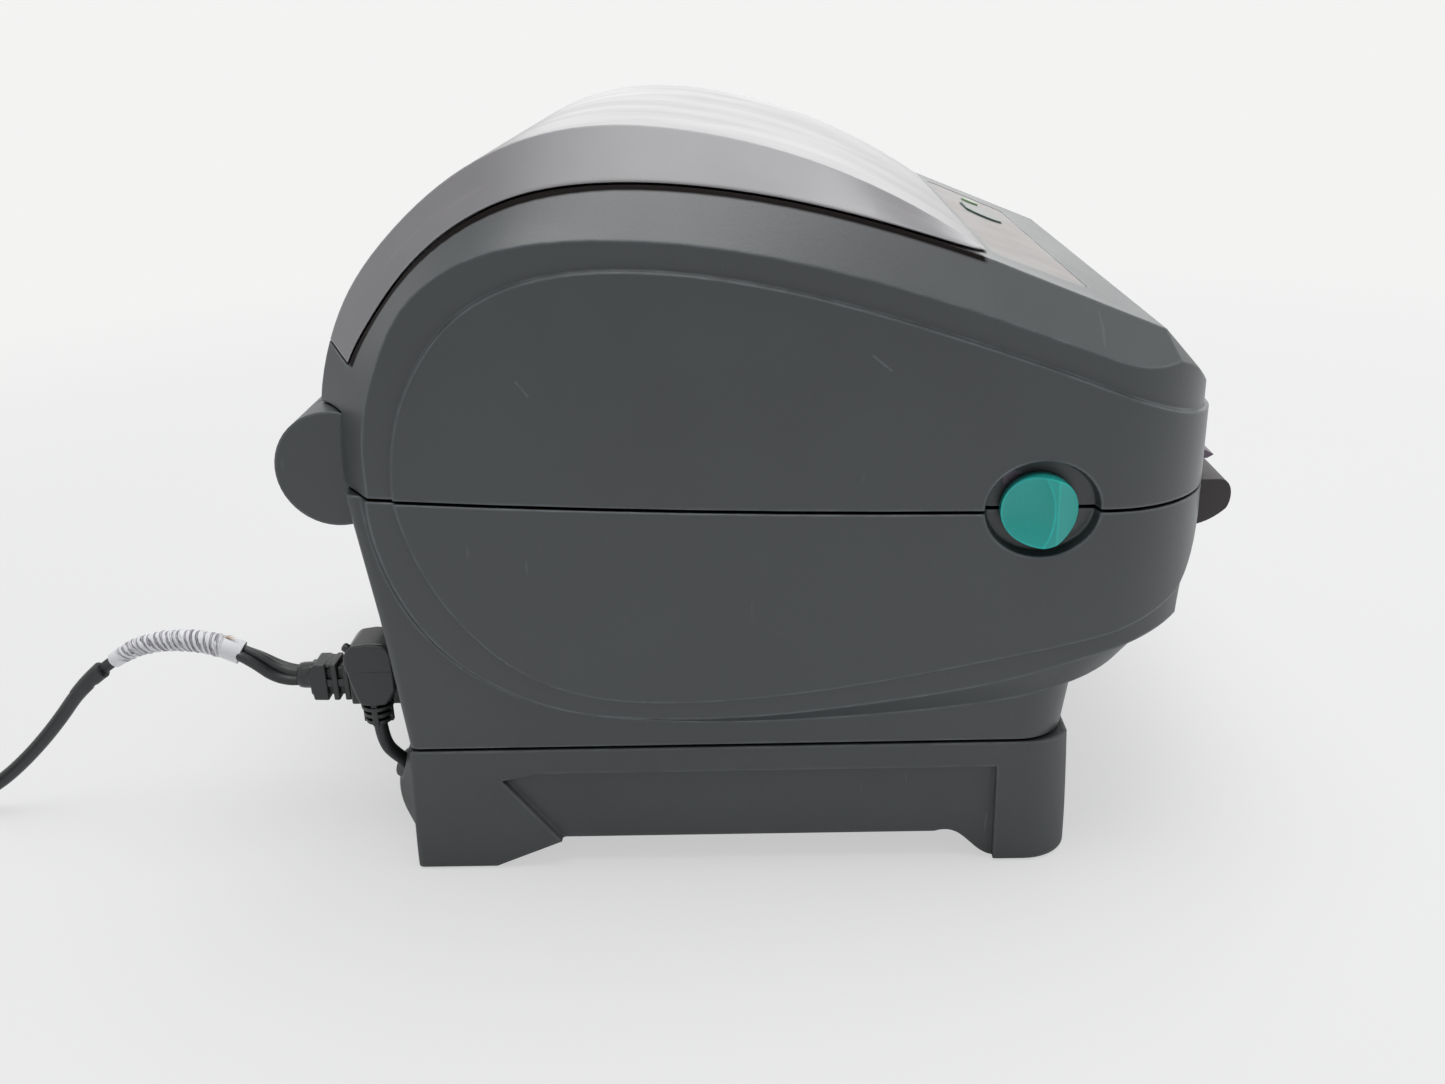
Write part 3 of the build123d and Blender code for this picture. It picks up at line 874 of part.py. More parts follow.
def make_head():
    z = PLATEN_Z + PLATEN_R + PLAY
    plate = block(-HEAD_HALF, HEAD_HALF, -87.0, -66.0, z, z + 2.0)
    keep("thermal_head", plate)
    sink = block(-HEAD_HALF, HEAD_HALF, -87.0, -64.0, z + 2.0, z + 4.5)
    for k in range(6):
        sink += block(-HEAD_HALF, HEAD_HALF, -86.5 + 4 * k, -84.5 + 4 * k, z + 4.5, z + 7.5)
    keep("heat_sink", sink)
    top = z + 7.5
    bracket = block(-HEAD_HALF, HEAD_HALF, -87.0, -52.0, top, top + 1.6)
    for side in (-1, 1):
        bracket += block(side * (HEAD_HALF - 5), side * HEAD_HALF, -56.0, -46.0, HEAD_PIVOT_Z - 4, HEAD_PIVOT_Z + 3.5)
    bracket -= bar_x(HEAD_PIVOT_Y, HEAD_PIVOT_Z, HEAD_PIVOT_R + RUN, -CHEEK_X, CHEEK_X)
    keep("head_bracket", bracket)
    springs = []
    for x in (-30, 30):
        coil = post(x, -78.0, 3.0, top + 1.6, CARRIER_Z) - post(x, -78.0, 2.2, top, CARRIER_Z + 1)
        springs.append(coil)
    keep("head_springs", *springs)
    carrier = block(-CARRIER_HALF, CARRIER_HALF, -87.0, -39.5, CARRIER_Z, CARRIER_Z + CARRIER_T)
    for side in (-1, 1):
        carrier += block(side * (CARRIER_HALF - 1.7), side * CARRIER_HALF, -56.0, -44.0, HEAD_PIVOT_Z - 4,
                         CARRIER_Z)
        carrier -= bar_x(HEAD_PIVOT_Y, HEAD_PIVOT_Z, HEAD_PIVOT_R, side * (HEAD_HALF - 16),
                         side * (HEAD_HALF + 14))
    keep("head_carrier", carrier)
    keep("head_pivots", *[bar_x(HEAD_PIVOT_Y, HEAD_PIVOT_Z, HEAD_PIVOT_R, side * (HEAD_HALF - 5.5),
                                 side * (CARRIER_HALF + 1))
                          for side in (-1, 1)])
    tear = both([[(-91.5, TEAR_Z), (-98.8, TEAR_Z)], [(-98.8, TEAR_Z), (-100.2, TEAR_Z + 0.8)],
                 [(-100.2, TEAR_Z + 0.8), (-97.8, TEAR_Z + TEAR_T)],
                 [(-97.8, TEAR_Z + TEAR_T), (-91.5, TEAR_Z + TEAR_T)],
                 [(-91.5, TEAR_Z + TEAR_T), (-91.5, TEAR_Z)]], TEAR_HALF)
    keep("tear_bar", tear)


def make_controls():
    panel = ON_PANEL * Pos(0, 0, -OVERLAY_T) * extrude(overlay(), amount=OVERLAY_T - 0.1)
    panel -= button_slot(PLAY, -6, 3)
    panel -= panel_hole(LIGHT_X, LIGHT_R + RUN, -6, 3)
    keep("control_panel", panel)
    cap = button_slot(0, -5.0, 0.4)
    flange = ON_PANEL * Pos(BUTTON_X, 0, -5.0) * extrude(SlotOverall(BUTTON_L + 4, BUTTON_W + 4), amount=2.2)
    keep("feed_button", cap + flange)
    keep("status_light", panel_hole(LIGHT_X, LIGHT_R, -BOARD_DROP, 0.4))
    board = ON_PANEL * Pos(BOARD_X, 0, -BOARD_DROP - BOARD_T / 2) * Box(
        2 * BOARD_HALF_L, 2 * BOARD_HALF_W, BOARD_T)
    switch_h = BOARD_DROP - 5.0 - BUTTON_TRAVEL - PLAY
    board += ON_PANEL * Pos(BUTTON_X, 0, -BOARD_DROP + switch_h / 2 - 0.1) * Box(6, 6, switch_h + 0.2)
    keep("panel_board", board)


def make_bezel():
    """Curved lip under the paper slot; its back follows the case's chin."""
    top = BEZEL_TOP_Z - 0.3
    lip = both([[(-90.5, top), (-101.6, top - 0.1)],
                [(-101.6, top - 0.1), (-104.2, 82.8), (-105.0, 80.2), (-104.2, 76.8)],
                [(-104.2, 76.8), (-99.6, 73.7), (-93.5, 72.6)],
                [(-93.5, 72.6), (-90.5, 72.6)],
                [(-90.5, 72.6), (-90.5, top)]], TEAR_HALF)
    return lip - both(PANEL, PANEL_X)


def make_fixings():
    ends = []
    for side in (-1, 1):
        ends.append(bar_x(HINGE_Y, HINGE_Z, HINGE_PIN_R, side * (KNUCKLE_IN - BARREL_END + 0.5),
                          side * (KNUCKLE_OUT - 1.5)))
    keep("hinge_pins", *ends)
    top = DECK_Z - DECK_T
    screws = []
    for x in (-FIXING_X, FIXING_X):
        screws.append(post(x, -30.0, SCREW_R, top, DECK_Z + FLOOR_T + 2) + post(x, -30.0, 3.0, top - 1.8, top))
    keep("case_screws", *screws)


# ---------------------------------------------------------------- cords
DC_TOP_Y, DC_TOP_Z = 91.6, 33.4
DATA_Z = 37.4
PLUG_END_Y = 115.0
FOLD_R, WRAP_T = 3.0, 0.4
FOLD_END = (DATA_X, 163.5, 39.9)
FOLD_ROUTE = [
    (DATA_X, PLUG_END_Y, DATA_Z), (DATA_X, 119.0, DATA_Z), (DATA_X, 126.2, 42.8), (DATA_X, 137.0, 47.3),
    (DATA_X, 149.0, 47.4), (DATA_X, 157.6, 44.3), FOLD_END]
FLOOR_Z = DATA_CORD_D / 2
DATA_ROUTE = [
    FOLD_END, (DATA_X, 169.2, 35.7), (DATA_X, 178.0, 25.0), (DATA_X, 187.0, 15.9),
    (DATA_X, 196.0, 8.5), (DATA_X, 205.5, 3.4), (-51.3, 216.0, FLOOR_Z), (DATA_X, 227.0, FLOOR_Z)]
COIL_X, COIL_Y = DATA_X - COIL_MEAN_R, 236.0
FAR_X = COIL_X - 17.0      # the plug at the cord's far end lies on the coil


def make_cords():
    # right-angle power plug: barrel into the jack, head against the case, strain relief down
    barrel = Pos(JACK_X, 81.5, JACK_AXIS_Z) * Rot(90, 0, 0) * Cylinder(DC_BARREL_R - RUN, 13)
    head = Plane.YZ * make_face(Polyline((85.2, 52.8), (86.4, 55.3), (95.2, 55.4), (96.7, 53.0), (95.9, 46.0),
                                         (94.2, 39.6), (87.8, 39.6), (85.4, 43.0), close=True))
    head = Pos(JACK_X - 5.5, 0, 0) * extrude(head, amount=11)
    head = fillet(head.edges().filter_by(Axis.X), 1.2)
    relief = Pos(JACK_X, DC_TOP_Y, DC_TOP_Z) * Cone(
        2.7, 3.1, 7.2, align=(Align.CENTER, Align.CENTER, Align.MIN))
    keep("dc_plug", head + barrel + relief)
    near, mouth = [at_gland(Pos(0, 0, t)).position for t in (4.5, GLAND_OUT - GLAND_SEAT)]
    route = [(JACK_X, DC_TOP_Y, DC_TOP_Z), (JACK_X, DC_TOP_Y, 28.2), (near.X, near.Y, near.Z),
             (mouth.X, mouth.Y, mouth.Z)]
    keep("dc_lead", tube_along(route, arc_radii(route, "dc_lead"), DC_LEAD_D / 2))
    # data plug: shell into the port, moulded neck, six-sided collar with two grooves
    shell = block(DATA_X - 4.0, DATA_X + 4.0, 75.0, 87.0, DATA_Z + 0.6 - 3.6, DATA_Z + 0.6 + 3.6)
    neck = block(DATA_X - 6, DATA_X + 6, 86.0, 101.0, DATA_Z - 5.4, DATA_Z + 5.4)
    neck = fillet(neck.edges().filter_by(Axis.Y), 1.5)
    collar = Pos(DATA_X, 106.0, DATA_Z) * Rot(90, 0, 0) * extrude(
        RegularPolygon(6.2, 6, major_radius=True), amount=6, both=True)
    collar &= block(DATA_X - 3.8, DATA_X + 3.8, 95.0, 115.0, DATA_Z - 5.4, DATA_Z + 5.0)
    for y in (104.4, 108.4):
        ring = Pos(DATA_X, y, DATA_Z) * Rot(90, 0, 0) * (Cylinder(9, 1.2) - Cylinder(4.6, 1.2))
        collar -= ring
    tail = Pos(DATA_X, (PLUG_END_Y + 111.0) / 2, DATA_Z) * Rot(90, 0, 0) * Cylinder(3.4, PLUG_END_Y - 111.0)
    keep("data_plug", shell + neck + collar + tail)
    radii = arc_radii(FOLD_ROUTE, "data_cord_fold")
    fold = tube_along(FOLD_ROUTE, radii, FOLD_R)
    keep("data_cord_fold", fold)
    wrap = tube_along(FOLD_ROUTE, radii, FOLD_R + WRAP_T) & block(DATA_X - 9, DATA_X + 9, 128, 160.5, 20, 60)
    keep("cord_wrap", wrap - fold)
    half_band = COIL_BAND / 2
    drum = post(COIL_X, COIL_Y, COIL_MEAN_R + half_band, 0, COIL_BAND)
    keep("data_cord_coil", drum - post(COIL_X, COIL_Y, COIL_MEAN_R - half_band, -1, COIL_BAND + 1))
    cord = tube_along(DATA_ROUTE, arc_radii(DATA_ROUTE, "data_cord"), DATA_CORD_D / 2)
    keep("data_cord", cord - post(COIL_X, COIL_Y, COIL_MEAN_R + half_band, -10, COIL_BAND + 10))
    far = block(FAR_X - 7.5, FAR_X + 7.5, COIL_Y - 4, COIL_Y + 16, COIL_BAND, COIL_BAND + 7.5)
    far = fillet(far.edges().filter_by(Axis.Y), 2)
    tip = block(FAR_X - 6, FAR_X + 6, COIL_Y - 16, COIL_Y - 3, COIL_BAND + 1.5, COIL_BAND + 6.0)
    keep("data_far_plug", far + tip)


def build_all():
    keep("lower_case", make_lower_case())
    keep("upper_case", make_upper_case())
    keep("window_cover", make_window_cover())
    make_base_parts()
    keep("media_frame", make_frame())
    keep("front_bezel", make_bezel())
    make_drive()
    make_holders()
    make_electronics()
    make_latches()
    make_head()
    make_controls()
    make_fixings()
    make_cords()


build_all()
for name, shape in nodes.items():
    export_step(shape, f"parts/{name}.step")
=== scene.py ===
"""Looks of the desktop receipt printer: camera, light, cords, materials and small pieces."""
import json
import math
import bmesh
import bpy
from mathutils import Matrix, Vector, noise


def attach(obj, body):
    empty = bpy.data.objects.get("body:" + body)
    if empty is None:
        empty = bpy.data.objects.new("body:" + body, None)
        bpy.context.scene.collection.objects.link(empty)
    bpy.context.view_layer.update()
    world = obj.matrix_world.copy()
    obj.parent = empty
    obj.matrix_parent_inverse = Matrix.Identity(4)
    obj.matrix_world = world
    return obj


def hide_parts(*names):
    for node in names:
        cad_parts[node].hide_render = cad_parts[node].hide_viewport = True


MM = 0.001

CAMERA_PLACE = (-0.3504, 0.0012, 0.1889)
CAMERA_TURN = (1.80, 21.66, -1.90)  # yaw, pitch down and roll, in degrees
CAMERA_LENS, SENSOR = 34.36, 36.0   # millimetres
FILL_COLOUR, FILL = (0.96, 0.98, 1.0), 0.38
LAMPS = [                           # name, place, what it aims at, size, power in watts
    ("overhead", (0.05, -0.05, 1.30), (0, 0, 0.08), (0.9, 1.2), 15.0),
    ("far_window", (1.30, -0.25, 0.55), (0, 0, 0.10), (1.4, 0.8), 3.6),
    ("front_window", (0.10, -1.30, 0.60), (0, 0, 0.10), (1.2, 0.8), 4.0)]
FLOOR_REACH = 60.0
WHITE = (0.895, 0.895, 0.890)       # the backdrop, as the camera and shiny pieces see it
FLOOR_MIDDLE = (0.0, 0.0, 0.0)
NEAR_SHADE_WHITE = (0.775, 0.775, 0.778)  # painted shade: the paper's glow, darker close to the printer
SHADE_NEAR, SHADE_FAR = 0.16, 0.75  # metres from the middle where it starts and ends turning WHITE
GLOW_NEAR = 0.70                    # share of glow in the paper close to the printer; 1 further out

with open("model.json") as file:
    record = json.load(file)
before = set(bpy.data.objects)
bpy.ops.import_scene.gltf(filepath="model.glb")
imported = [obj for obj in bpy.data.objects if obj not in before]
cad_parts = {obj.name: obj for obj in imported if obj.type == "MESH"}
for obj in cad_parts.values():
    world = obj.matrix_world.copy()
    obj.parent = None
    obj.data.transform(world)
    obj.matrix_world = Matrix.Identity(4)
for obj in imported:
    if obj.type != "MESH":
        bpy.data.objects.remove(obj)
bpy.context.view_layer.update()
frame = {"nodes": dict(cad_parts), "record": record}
scene = bpy.context.scene


# ---------------------------------------------------------------- camera, floor, light
def add_camera():
    """The photograph's viewpoint: a little above the lid, looking down at the left side."""
    yaw, pitch, roll = [math.radians(turn) for turn in CAMERA_TURN]
    level = Vector((math.cos(yaw), math.sin(yaw), 0))
    right = Vector((math.sin(yaw), -math.cos(yaw), 0))
    up = Vector((0, 0, 1))
    ahead = level * math.cos(pitch) - up * math.sin(pitch)
    above = level * math.sin(pitch) + up * math.cos(pitch)
    right, above = (right * math.cos(roll) + above * math.sin(roll),
                    above * math.cos(roll) - right * math.sin(roll))
    data = bpy.data.cameras.new("photo_camera")
    data.sensor_width = SENSOR
    data.lens = CAMERA_LENS
    data.clip_start = 0.01
    data.clip_end = 200.0
    camera = bpy.data.objects.new("photo_camera", data)
    scene.collection.objects.link(camera)
    turned = Matrix((right, above, -ahead)).transposed().to_4x4()
    camera.matrix_world = Matrix.Translation(CAMERA_PLACE) @ turned
    scene.camera = camera


def add_world():
    """White to look at, in reflections and through clear pieces; a soft fill for everything else."""
    world = bpy.data.worlds.new("studio")
    scene.world = world
    world.use_nodes = True
    tree = world.node_tree
    tree.nodes.clear()
    path = tree.nodes.new("ShaderNodeLightPath")
    seen = tree.nodes.new("ShaderNodeMath")
    seen.operation = "MAXIMUM"
    tree.links.new(path.outputs["Is Camera Ray"], seen.inputs[0])
    tree.links.new(path.outputs["Is Glossy Ray"], seen.inputs[1])
    through = tree.nodes.new("ShaderNodeMath")
    through.operation = "MAXIMUM"
    tree.links.new(seen.outputs[0], through.inputs[0])
    tree.links.new(path.outputs["Is Transmission Ray"], through.inputs[1])
    fill = tree.nodes.new("ShaderNodeBackground")
    fill.inputs["Color"].default_value = (*FILL_COLOUR, 1)
    fill.inputs["Strength"].default_value = FILL
    white = tree.nodes.new("ShaderNodeBackground")
    white.inputs["Color"].default_value = (*WHITE, 1)
    white.inputs["Strength"].default_value = 1.0
    either = tree.nodes.new("ShaderNodeMixShader")
    tree.links.new(through.outputs[0], either.inputs[0])
    tree.links.new(fill.outputs[0], either.inputs[1])
    tree.links.new(white.outputs[0], either.inputs[2])
    out = tree.nodes.new("ShaderNodeOutputWorld")
    tree.links.new(either.outputs[0], out.inputs["Surface"])


def add_lamp(name, place, aim, size, power):
    data = bpy.data.lights.new(name, "AREA")
    data.shape = "RECTANGLE"
    data.size, data.size_y = size
    data.energy = power
    lamp = bpy.data.objects.new(name, data)
    scene.collection.objects.link(lamp)
    lamp.location = place
    lamp.rotation_euler = (Vector(aim) - Vector(place)).to_track_quat("-Z", "Y").to_euler()
    lamp.visible_camera = False


def flat_mesh(name, points, faces):
    mesh = bpy.data.meshes.new(name)
    mesh.from_pydata([Vector(p) for p in points], [], faces)
    mesh.update()
    piece = bpy.data.objects.new(name, mesh)
    scene.collection.objects.link(piece)
    return piece


def add_floor(material):
    far = FLOOR_REACH
    floor = flat_mesh("floor", [(-far, -far, 0), (far, -far, 0), (far, far, 0), (-far, far, 0)],
                      [(0, 1, 2, 3)])
    floor.data.materials.append(material)


# ---------------------------------------------------------------- materials
# painted shade: the dark line of the gap round the window cover, on the upper case, in metres: (y, y, side,
# side) for an edge of the line that moves from one side distance to the other, and (where 0, where 1) for
# what fades in
GROOVE_INNER = (0.045, 0.060, 0.0706, 0.0600)
GROOVE_OUTER = (0.030, 0.070, 0.0739, 0.0746)
GROOVE_FRONT, GROOVE_REAR = (-0.0450, -0.0440), (0.0862, 0.0857)
GROOVE_FOOT = (0.1195, 0.1200)
LEDGE_FROM = (0.0630, 0.0635)


class Shade:
    """A material, with short calls that add and join its nodes. Places are in metres."""

    def __init__(self, name, **sockets):
        self.mat = bpy.data.materials.new(name)
        self.mat.use_nodes = True
        self.tree = self.mat.node_tree
        self.bsdf = self.tree.nodes["Principled BSDF"]
        for key, value in sockets.items():
            self.bsdf.inputs[key.replace("_", " ")].default_value = value
        self.place = self.add("ShaderNodeTexCoord").outputs["Object"]

    def add(self, kind, inputs=None, **settings):
        node = self.tree.nodes.new(kind)
        for key, value in settings.items():
            setattr(node, key, value)
        for key, value in (inputs or {}).items():
            if isinstance(value, bpy.types.NodeSocket):
                self.tree.links.new(value, node.inputs[key])
            else:
                node.inputs[key].default_value = value
        return node

    def noise(self, scale, detail=3.0, stretch=(1, 1, 1)):
        place = self.place
        if stretch != (1, 1, 1):
            place = self.add("ShaderNodeMapping", {"Vector": place, "Scale": stretch}).outputs[0]
        node = self.add("ShaderNodeTexNoise", {"Vector": place, "Scale": scale, "Detail": detail})
        return node.outputs["Fac"]

    def math(self, operation, a, b=0.0):
        return self.add("ShaderNodeMath", {0: a, 1: b}, operation=operation).outputs[0]

    def vector(self, operation, a, b):
        node = self.add("ShaderNodeVectorMath", {0: a, 1: b}, operation=operation)
        return node.outputs["Value" if operation in ("DOT_PRODUCT", "DISTANCE") else "Vector"]

    def fit(self, value, low, high, to_low=0.0, to_high=1.0):
        return self.add("ShaderNodeMapRange", {"Value": value, "From Min": low, "From Max": high,
                                               "To Min": to_low, "To Max": to_high}).outputs[0]

    def mix(self, factor, a, b):
        node = self.add("ShaderNodeMix", data_type="RGBA")
        for socket, value in zip((node.inputs[0], node.inputs[6], node.inputs[7]), (factor, a, b)):
            if isinstance(value, bpy.types.NodeSocket):
                self.tree.links.new(value, socket)
            else:
                socket.default_value = value
        return node.outputs[2]

    def bevelled(self, radius):
        return self.add("ShaderNodeBevel", {"Radius": radius}, samples=4).outputs[0]

    def edges(self, bevel):
        """1 close to an edge and 0 on flat faces: the mask for edge wear and a painted highlight."""
        face = self.add("ShaderNodeNewGeometry").outputs["Normal"]
        return self.fit(self.vector("DOT_PRODUCT", bevel, face), 0.998, 0.95)

    def near_line(self, a, b, width):
        """1 along a thin line from a to b, seen along X: places are (y, z) in metres."""
        across = self.vector("MULTIPLY", self.place, (0, 1, 1))
        start, run = Vector((0, *a)), Vector((0, *b)) - Vector((0, *a))
        offset = self.vector("SUBTRACT", across, start)
        along = self.vector("DOT_PRODUCT", offset, run / run.length_squared)
        along = self.add("ShaderNodeClamp", {"Value": along}).outputs[0]
        foot = self.add("ShaderNodeVectorMath", {0: run, "Scale": along}, operation="SCALE").outputs[0]
        return self.fit(self.vector("DISTANCE", offset, foot), width, width * 0.3)

    def open_air(self, reach):
        """1 on faces with room before them, falling to 0 deep in a gap narrower than the reach: the mask for
        painted shade in gaps.
        """
        node = self.add("ShaderNodeAmbientOcclusion", {"Distance": reach}, samples=6)
        return self.fit(node.outputs["AO"], 0.12, 0.62)

    def groove_shade_and_ledge(self):
        """Painted shade: the dark line of the gap round the window cover, and the ledge inside it, painted in
        the cover's dark tone.
        Both go by place alone, so the inner side of the upper case gets them too."""
        x, y, z = self.add("ShaderNodeSeparateXYZ", {0: self.place}).outputs
        side = self.math("ABSOLUTE", x)
        inner = self.fit(y, *GROOVE_INNER)
        past = self.fit(self.math("SUBTRACT", side, inner), -0.0003, 0.0003)
        along = self.math("MULTIPLY", self.fit(y, *GROOVE_FRONT), self.fit(z, *GROOVE_FOOT))
        along = self.math("MULTIPLY", along, self.fit(y, *GROOVE_REAR))
        outer = self.fit(y, *GROOVE_OUTER)
        before = self.fit(self.math("SUBTRACT", outer, side), -0.0002, 0.0002)
        line = self.math("MULTIPLY", self.math("MULTIPLY", past, before), along)
        ledge = self.math("MULTIPLY", self.math("SUBTRACT", 1.0, past), self.fit(side, *LEDGE_FROM))
        return line, self.math("MULTIPLY", ledge, along)

    def shine(self, value):
        self.tree.links.new(value, self.bsdf.inputs["Specular IOR Level"])

    def color(self, value):
        self.tree.links.new(value, self.bsdf.inputs["Base Color"])

    def rough(self, value):
        self.tree.links.new(value, self.bsdf.inputs["Roughness"])

    def bump(self, height, strength, depth, normal=None):
        node = self.add("ShaderNodeBump", {"Height": height, "Strength": strength, "Distance": depth})
        if normal is not None:
            self.tree.links.new(normal, node.inputs["Normal"])
        self.tree.links.new(node.outputs[0], self.bsdf.inputs["Normal"])


# painted shade: the colour that gaps and crevices turn where the ambient occlusion finds them closed in
GAP_SHADE_BROWN = (0.010, 0.0075, 0.0075, 1)
COVER_DARK = (0.140, 0.134, 0.143, 1)
COVER_LIGHT = (0.180, 0.173, 0.183, 1)
PANEL_UP = (0.0, -0.386, 0.922)    # the way the control panel faces
GRAIN_DEPTH = 0.00004              # metres, of moulded plastic and rubber
METAL_GRAIN = PLAIN_GRAIN = 900.0  # scale of the noise


def tone(colour, by):
    return (*[min(1.0, c * by) for c in colour[:3]], 1)


def moulded(name, colour, rough, radius, grain=1500.0, wear_and_highlight=1.6, marks=(),
            specular=0.5, reach=0.0025, groove_shade=False, gap=GAP_SHADE_BROWN):
    """Textured plastic: fine spark-eroded grain, faint cloudy tone, edges lightened by wear and a painted
    highlight, hairlines, and painted shade darkening gaps.
    """
    s = Shade(name, Roughness=rough)
    # room is 1 in the open and 0 deep in gaps; where it falls, the colour turns to gap, a painted shade, and
    # the shine goes out
    room = s.open_air(reach)
    if groove_shade:
        # painted shade: the line round the window cover sends room to 0, so it takes the gap's shade colour
        line, ledge = s.groove_shade_and_ledge()
        room = s.math("MULTIPLY", s.math("MAXIMUM", room, ledge), s.math("SUBTRACT", 1.0, line))
    s.shine(s.fit(room, 0.0, 1.0, 0.02, specular))
    bevel = s.bevelled(radius)
    cloud = s.noise(30.0, 4.0)
    body = s.mix(s.fit(cloud, 0.35, 0.65), tone(colour, 0.93), tone(colour, 1.07))
    if groove_shade:
        body = s.mix(ledge, body, COVER_DARK)
    fleck = s.fit(s.noise(2600.0, 1.0), 0.62, 0.72, 0.0, 0.16)
    body = s.mix(fleck, body, tone(colour, 1.9))
    # edges lighten: partly wear, partly a painted highlight where rounded edges would catch the light
    edge = s.math("MULTIPLY", s.edges(bevel), s.fit(s.noise(160.0, 2.0), 0.3, 0.7, 0.35, 1.0))
    body = s.mix(s.math("MULTIPLY", edge, 0.85), body, tone(colour, wear_and_highlight))
    hair = s.fit(s.noise(420.0, 2.0, (0.06, 1.0, 0.16)), 0.735, 0.78, 0.0, 0.25)
    for a, b, width in marks:
        broken = s.fit(s.noise(500.0, 1.0), 0.3, 0.6, 0.25, 0.8)
        hair = s.math("MAXIMUM", hair, s.math("MULTIPLY", s.near_line(a, b, width), broken))
    # the colour turns to gap, painted shade, where room falls to 0
    s.color(s.mix(room, gap, s.mix(hair, body, tone(colour, 3.0))))
    dull = s.fit(cloud, 0.3, 0.7, rough - 0.04, rough + 0.05)
    s.rough(s.math("SUBTRACT", dull, s.math("MULTIPLY", edge, 0.1)))
    s.bump(s.noise(grain, 2.0), 0.5, GRAIN_DEPTH, bevel)
    return s.mat


def cover_plastic():
    """Smoky grey cover: smooth and shiny, with long faint scuffs and a few dull spots."""
    s = Shade("cover_plastic", Roughness=0.3, IOR=1.75)
    s.bsdf.inputs["Specular IOR Level"].default_value = 0.45
    bevel = s.bevelled(0.0008)
    cloud = s.noise(22.0, 4.0)
    body = s.mix(s.fit(cloud, 0.35, 0.65), COVER_DARK, COVER_LIGHT)
    scuff = s.fit(s.noise(260.0, 3.0, (1.0, 0.07, 0.12)), 0.64, 0.76, 0.0, 0.16)
    body = s.mix(scuff, body, (0.36, 0.355, 0.37, 1))
    # edges lighten: partly wear, partly a painted highlight where rounded edges would catch the light
    worn_and_highlit = s.math("MULTIPLY", s.edges(bevel), 0.55)
    s.color(s.mix(worn_and_highlit, body, (0.50, 0.49, 0.50, 1)))
    smear = s.fit(s.noise(60.0, 4.0, (1.0, 0.25, 0.6)), 0.35, 0.65, 0.30, 0.38)
    s.rough(smear)
    s.bump(s.noise(900.0, 1.0), 0.08, 0.00002, bevel)
    return s.mat


def overlay_film():
    s = Shade("overlay_film", Roughness=0.42)
    fleck = s.noise(3200.0, 1.0)
    s.color(s.mix(s.fit(fleck, 0.3, 0.7), (0.145, 0.130, 0.124, 1), (0.18, 0.163, 0.154, 1)))
    s.rough(s.fit(s.noise(60.0, 2.0), 0.3, 0.7, 0.38, 0.46))
    s.bump(fleck, 0.35, 0.00002)
    return s.mat


def button_film():
    """Feed button: grey like the overlay on top, with a dark green moulded edge."""
    s = Shade("button_film", Roughness=0.42)
    face = s.add("ShaderNodeNewGeometry").outputs["Normal"]
    turn = s.vector("DOT_PRODUCT", face, PANEL_UP)
    top = s.mix(s.noise(2400.0, 1.0), (0.135, 0.150, 0.140, 1), (0.165, 0.178, 0.166, 1))
    s.color(s.mix(s.fit(turn, 0.80, 0.97), (0.045, 0.100, 0.090, 1), top))
    s.bump(s.noise(1500.0, 1.0), 0.2, 0.00002, s.bevelled(0.0003))
    return s.mat


def metal(name, colour, rough, streak):
    """Bare metal with fine grain, drawn out where streak is large."""
    s = Shade(name, Metallic=1.0, Roughness=rough)
    bevel = s.bevelled(0.0003)
    grain = s.noise(METAL_GRAIN, 2.0, streak)
    s.color(s.mix(s.fit(grain, 0.3, 0.7), tone(colour, 0.9), tone(colour, 1.05)))
    s.rough(s.fit(grain, 0.3, 0.7, rough - 0.07, rough + 0.08))
    s.bump(grain, 0.15, 0.00003, bevel)
    return s.mat


def rubber(name, colour, rough, scale, depth=GRAIN_DEPTH):
    s = Shade(name, Roughness=rough)
    grain = s.noise(scale, 2.0)
    dust = s.fit(s.noise(55.0, 4.0), 0.52, 0.75, 0.0, 0.3)
    s.color(s.mix(dust, tone(colour, 1.0), tone(colour, 2.4)))
    s.rough(s.fit(grain, 0.3, 0.7, rough - 0.06, rough + 0.06))
    s.bump(grain, 0.35, depth, s.bevelled(0.0004))
    return s.mat


def board_green():
    s = Shade("board_green", Roughness=0.35)
    tracks = s.add("ShaderNodeTexBrick", {"Vector": s.place, "Scale": 260.0, "Mortar Size": 0.06,
                                          "Color1": (0.02, 0.15, 0.06, 1), "Color2": (0.025, 0.19, 0.075, 1),
                                          "Mortar": (0.06, 0.30, 0.12, 1)}).outputs["Color"]
    s.color(s.mix(s.fit(s.noise(300.0, 2.0), 0.4, 0.7, 0.0, 0.5), tracks, (0.015, 0.11, 0.045, 1)))
    s.bump(s.noise(1500.0, 1.0), 0.2, 0.00003)
    return s.mat


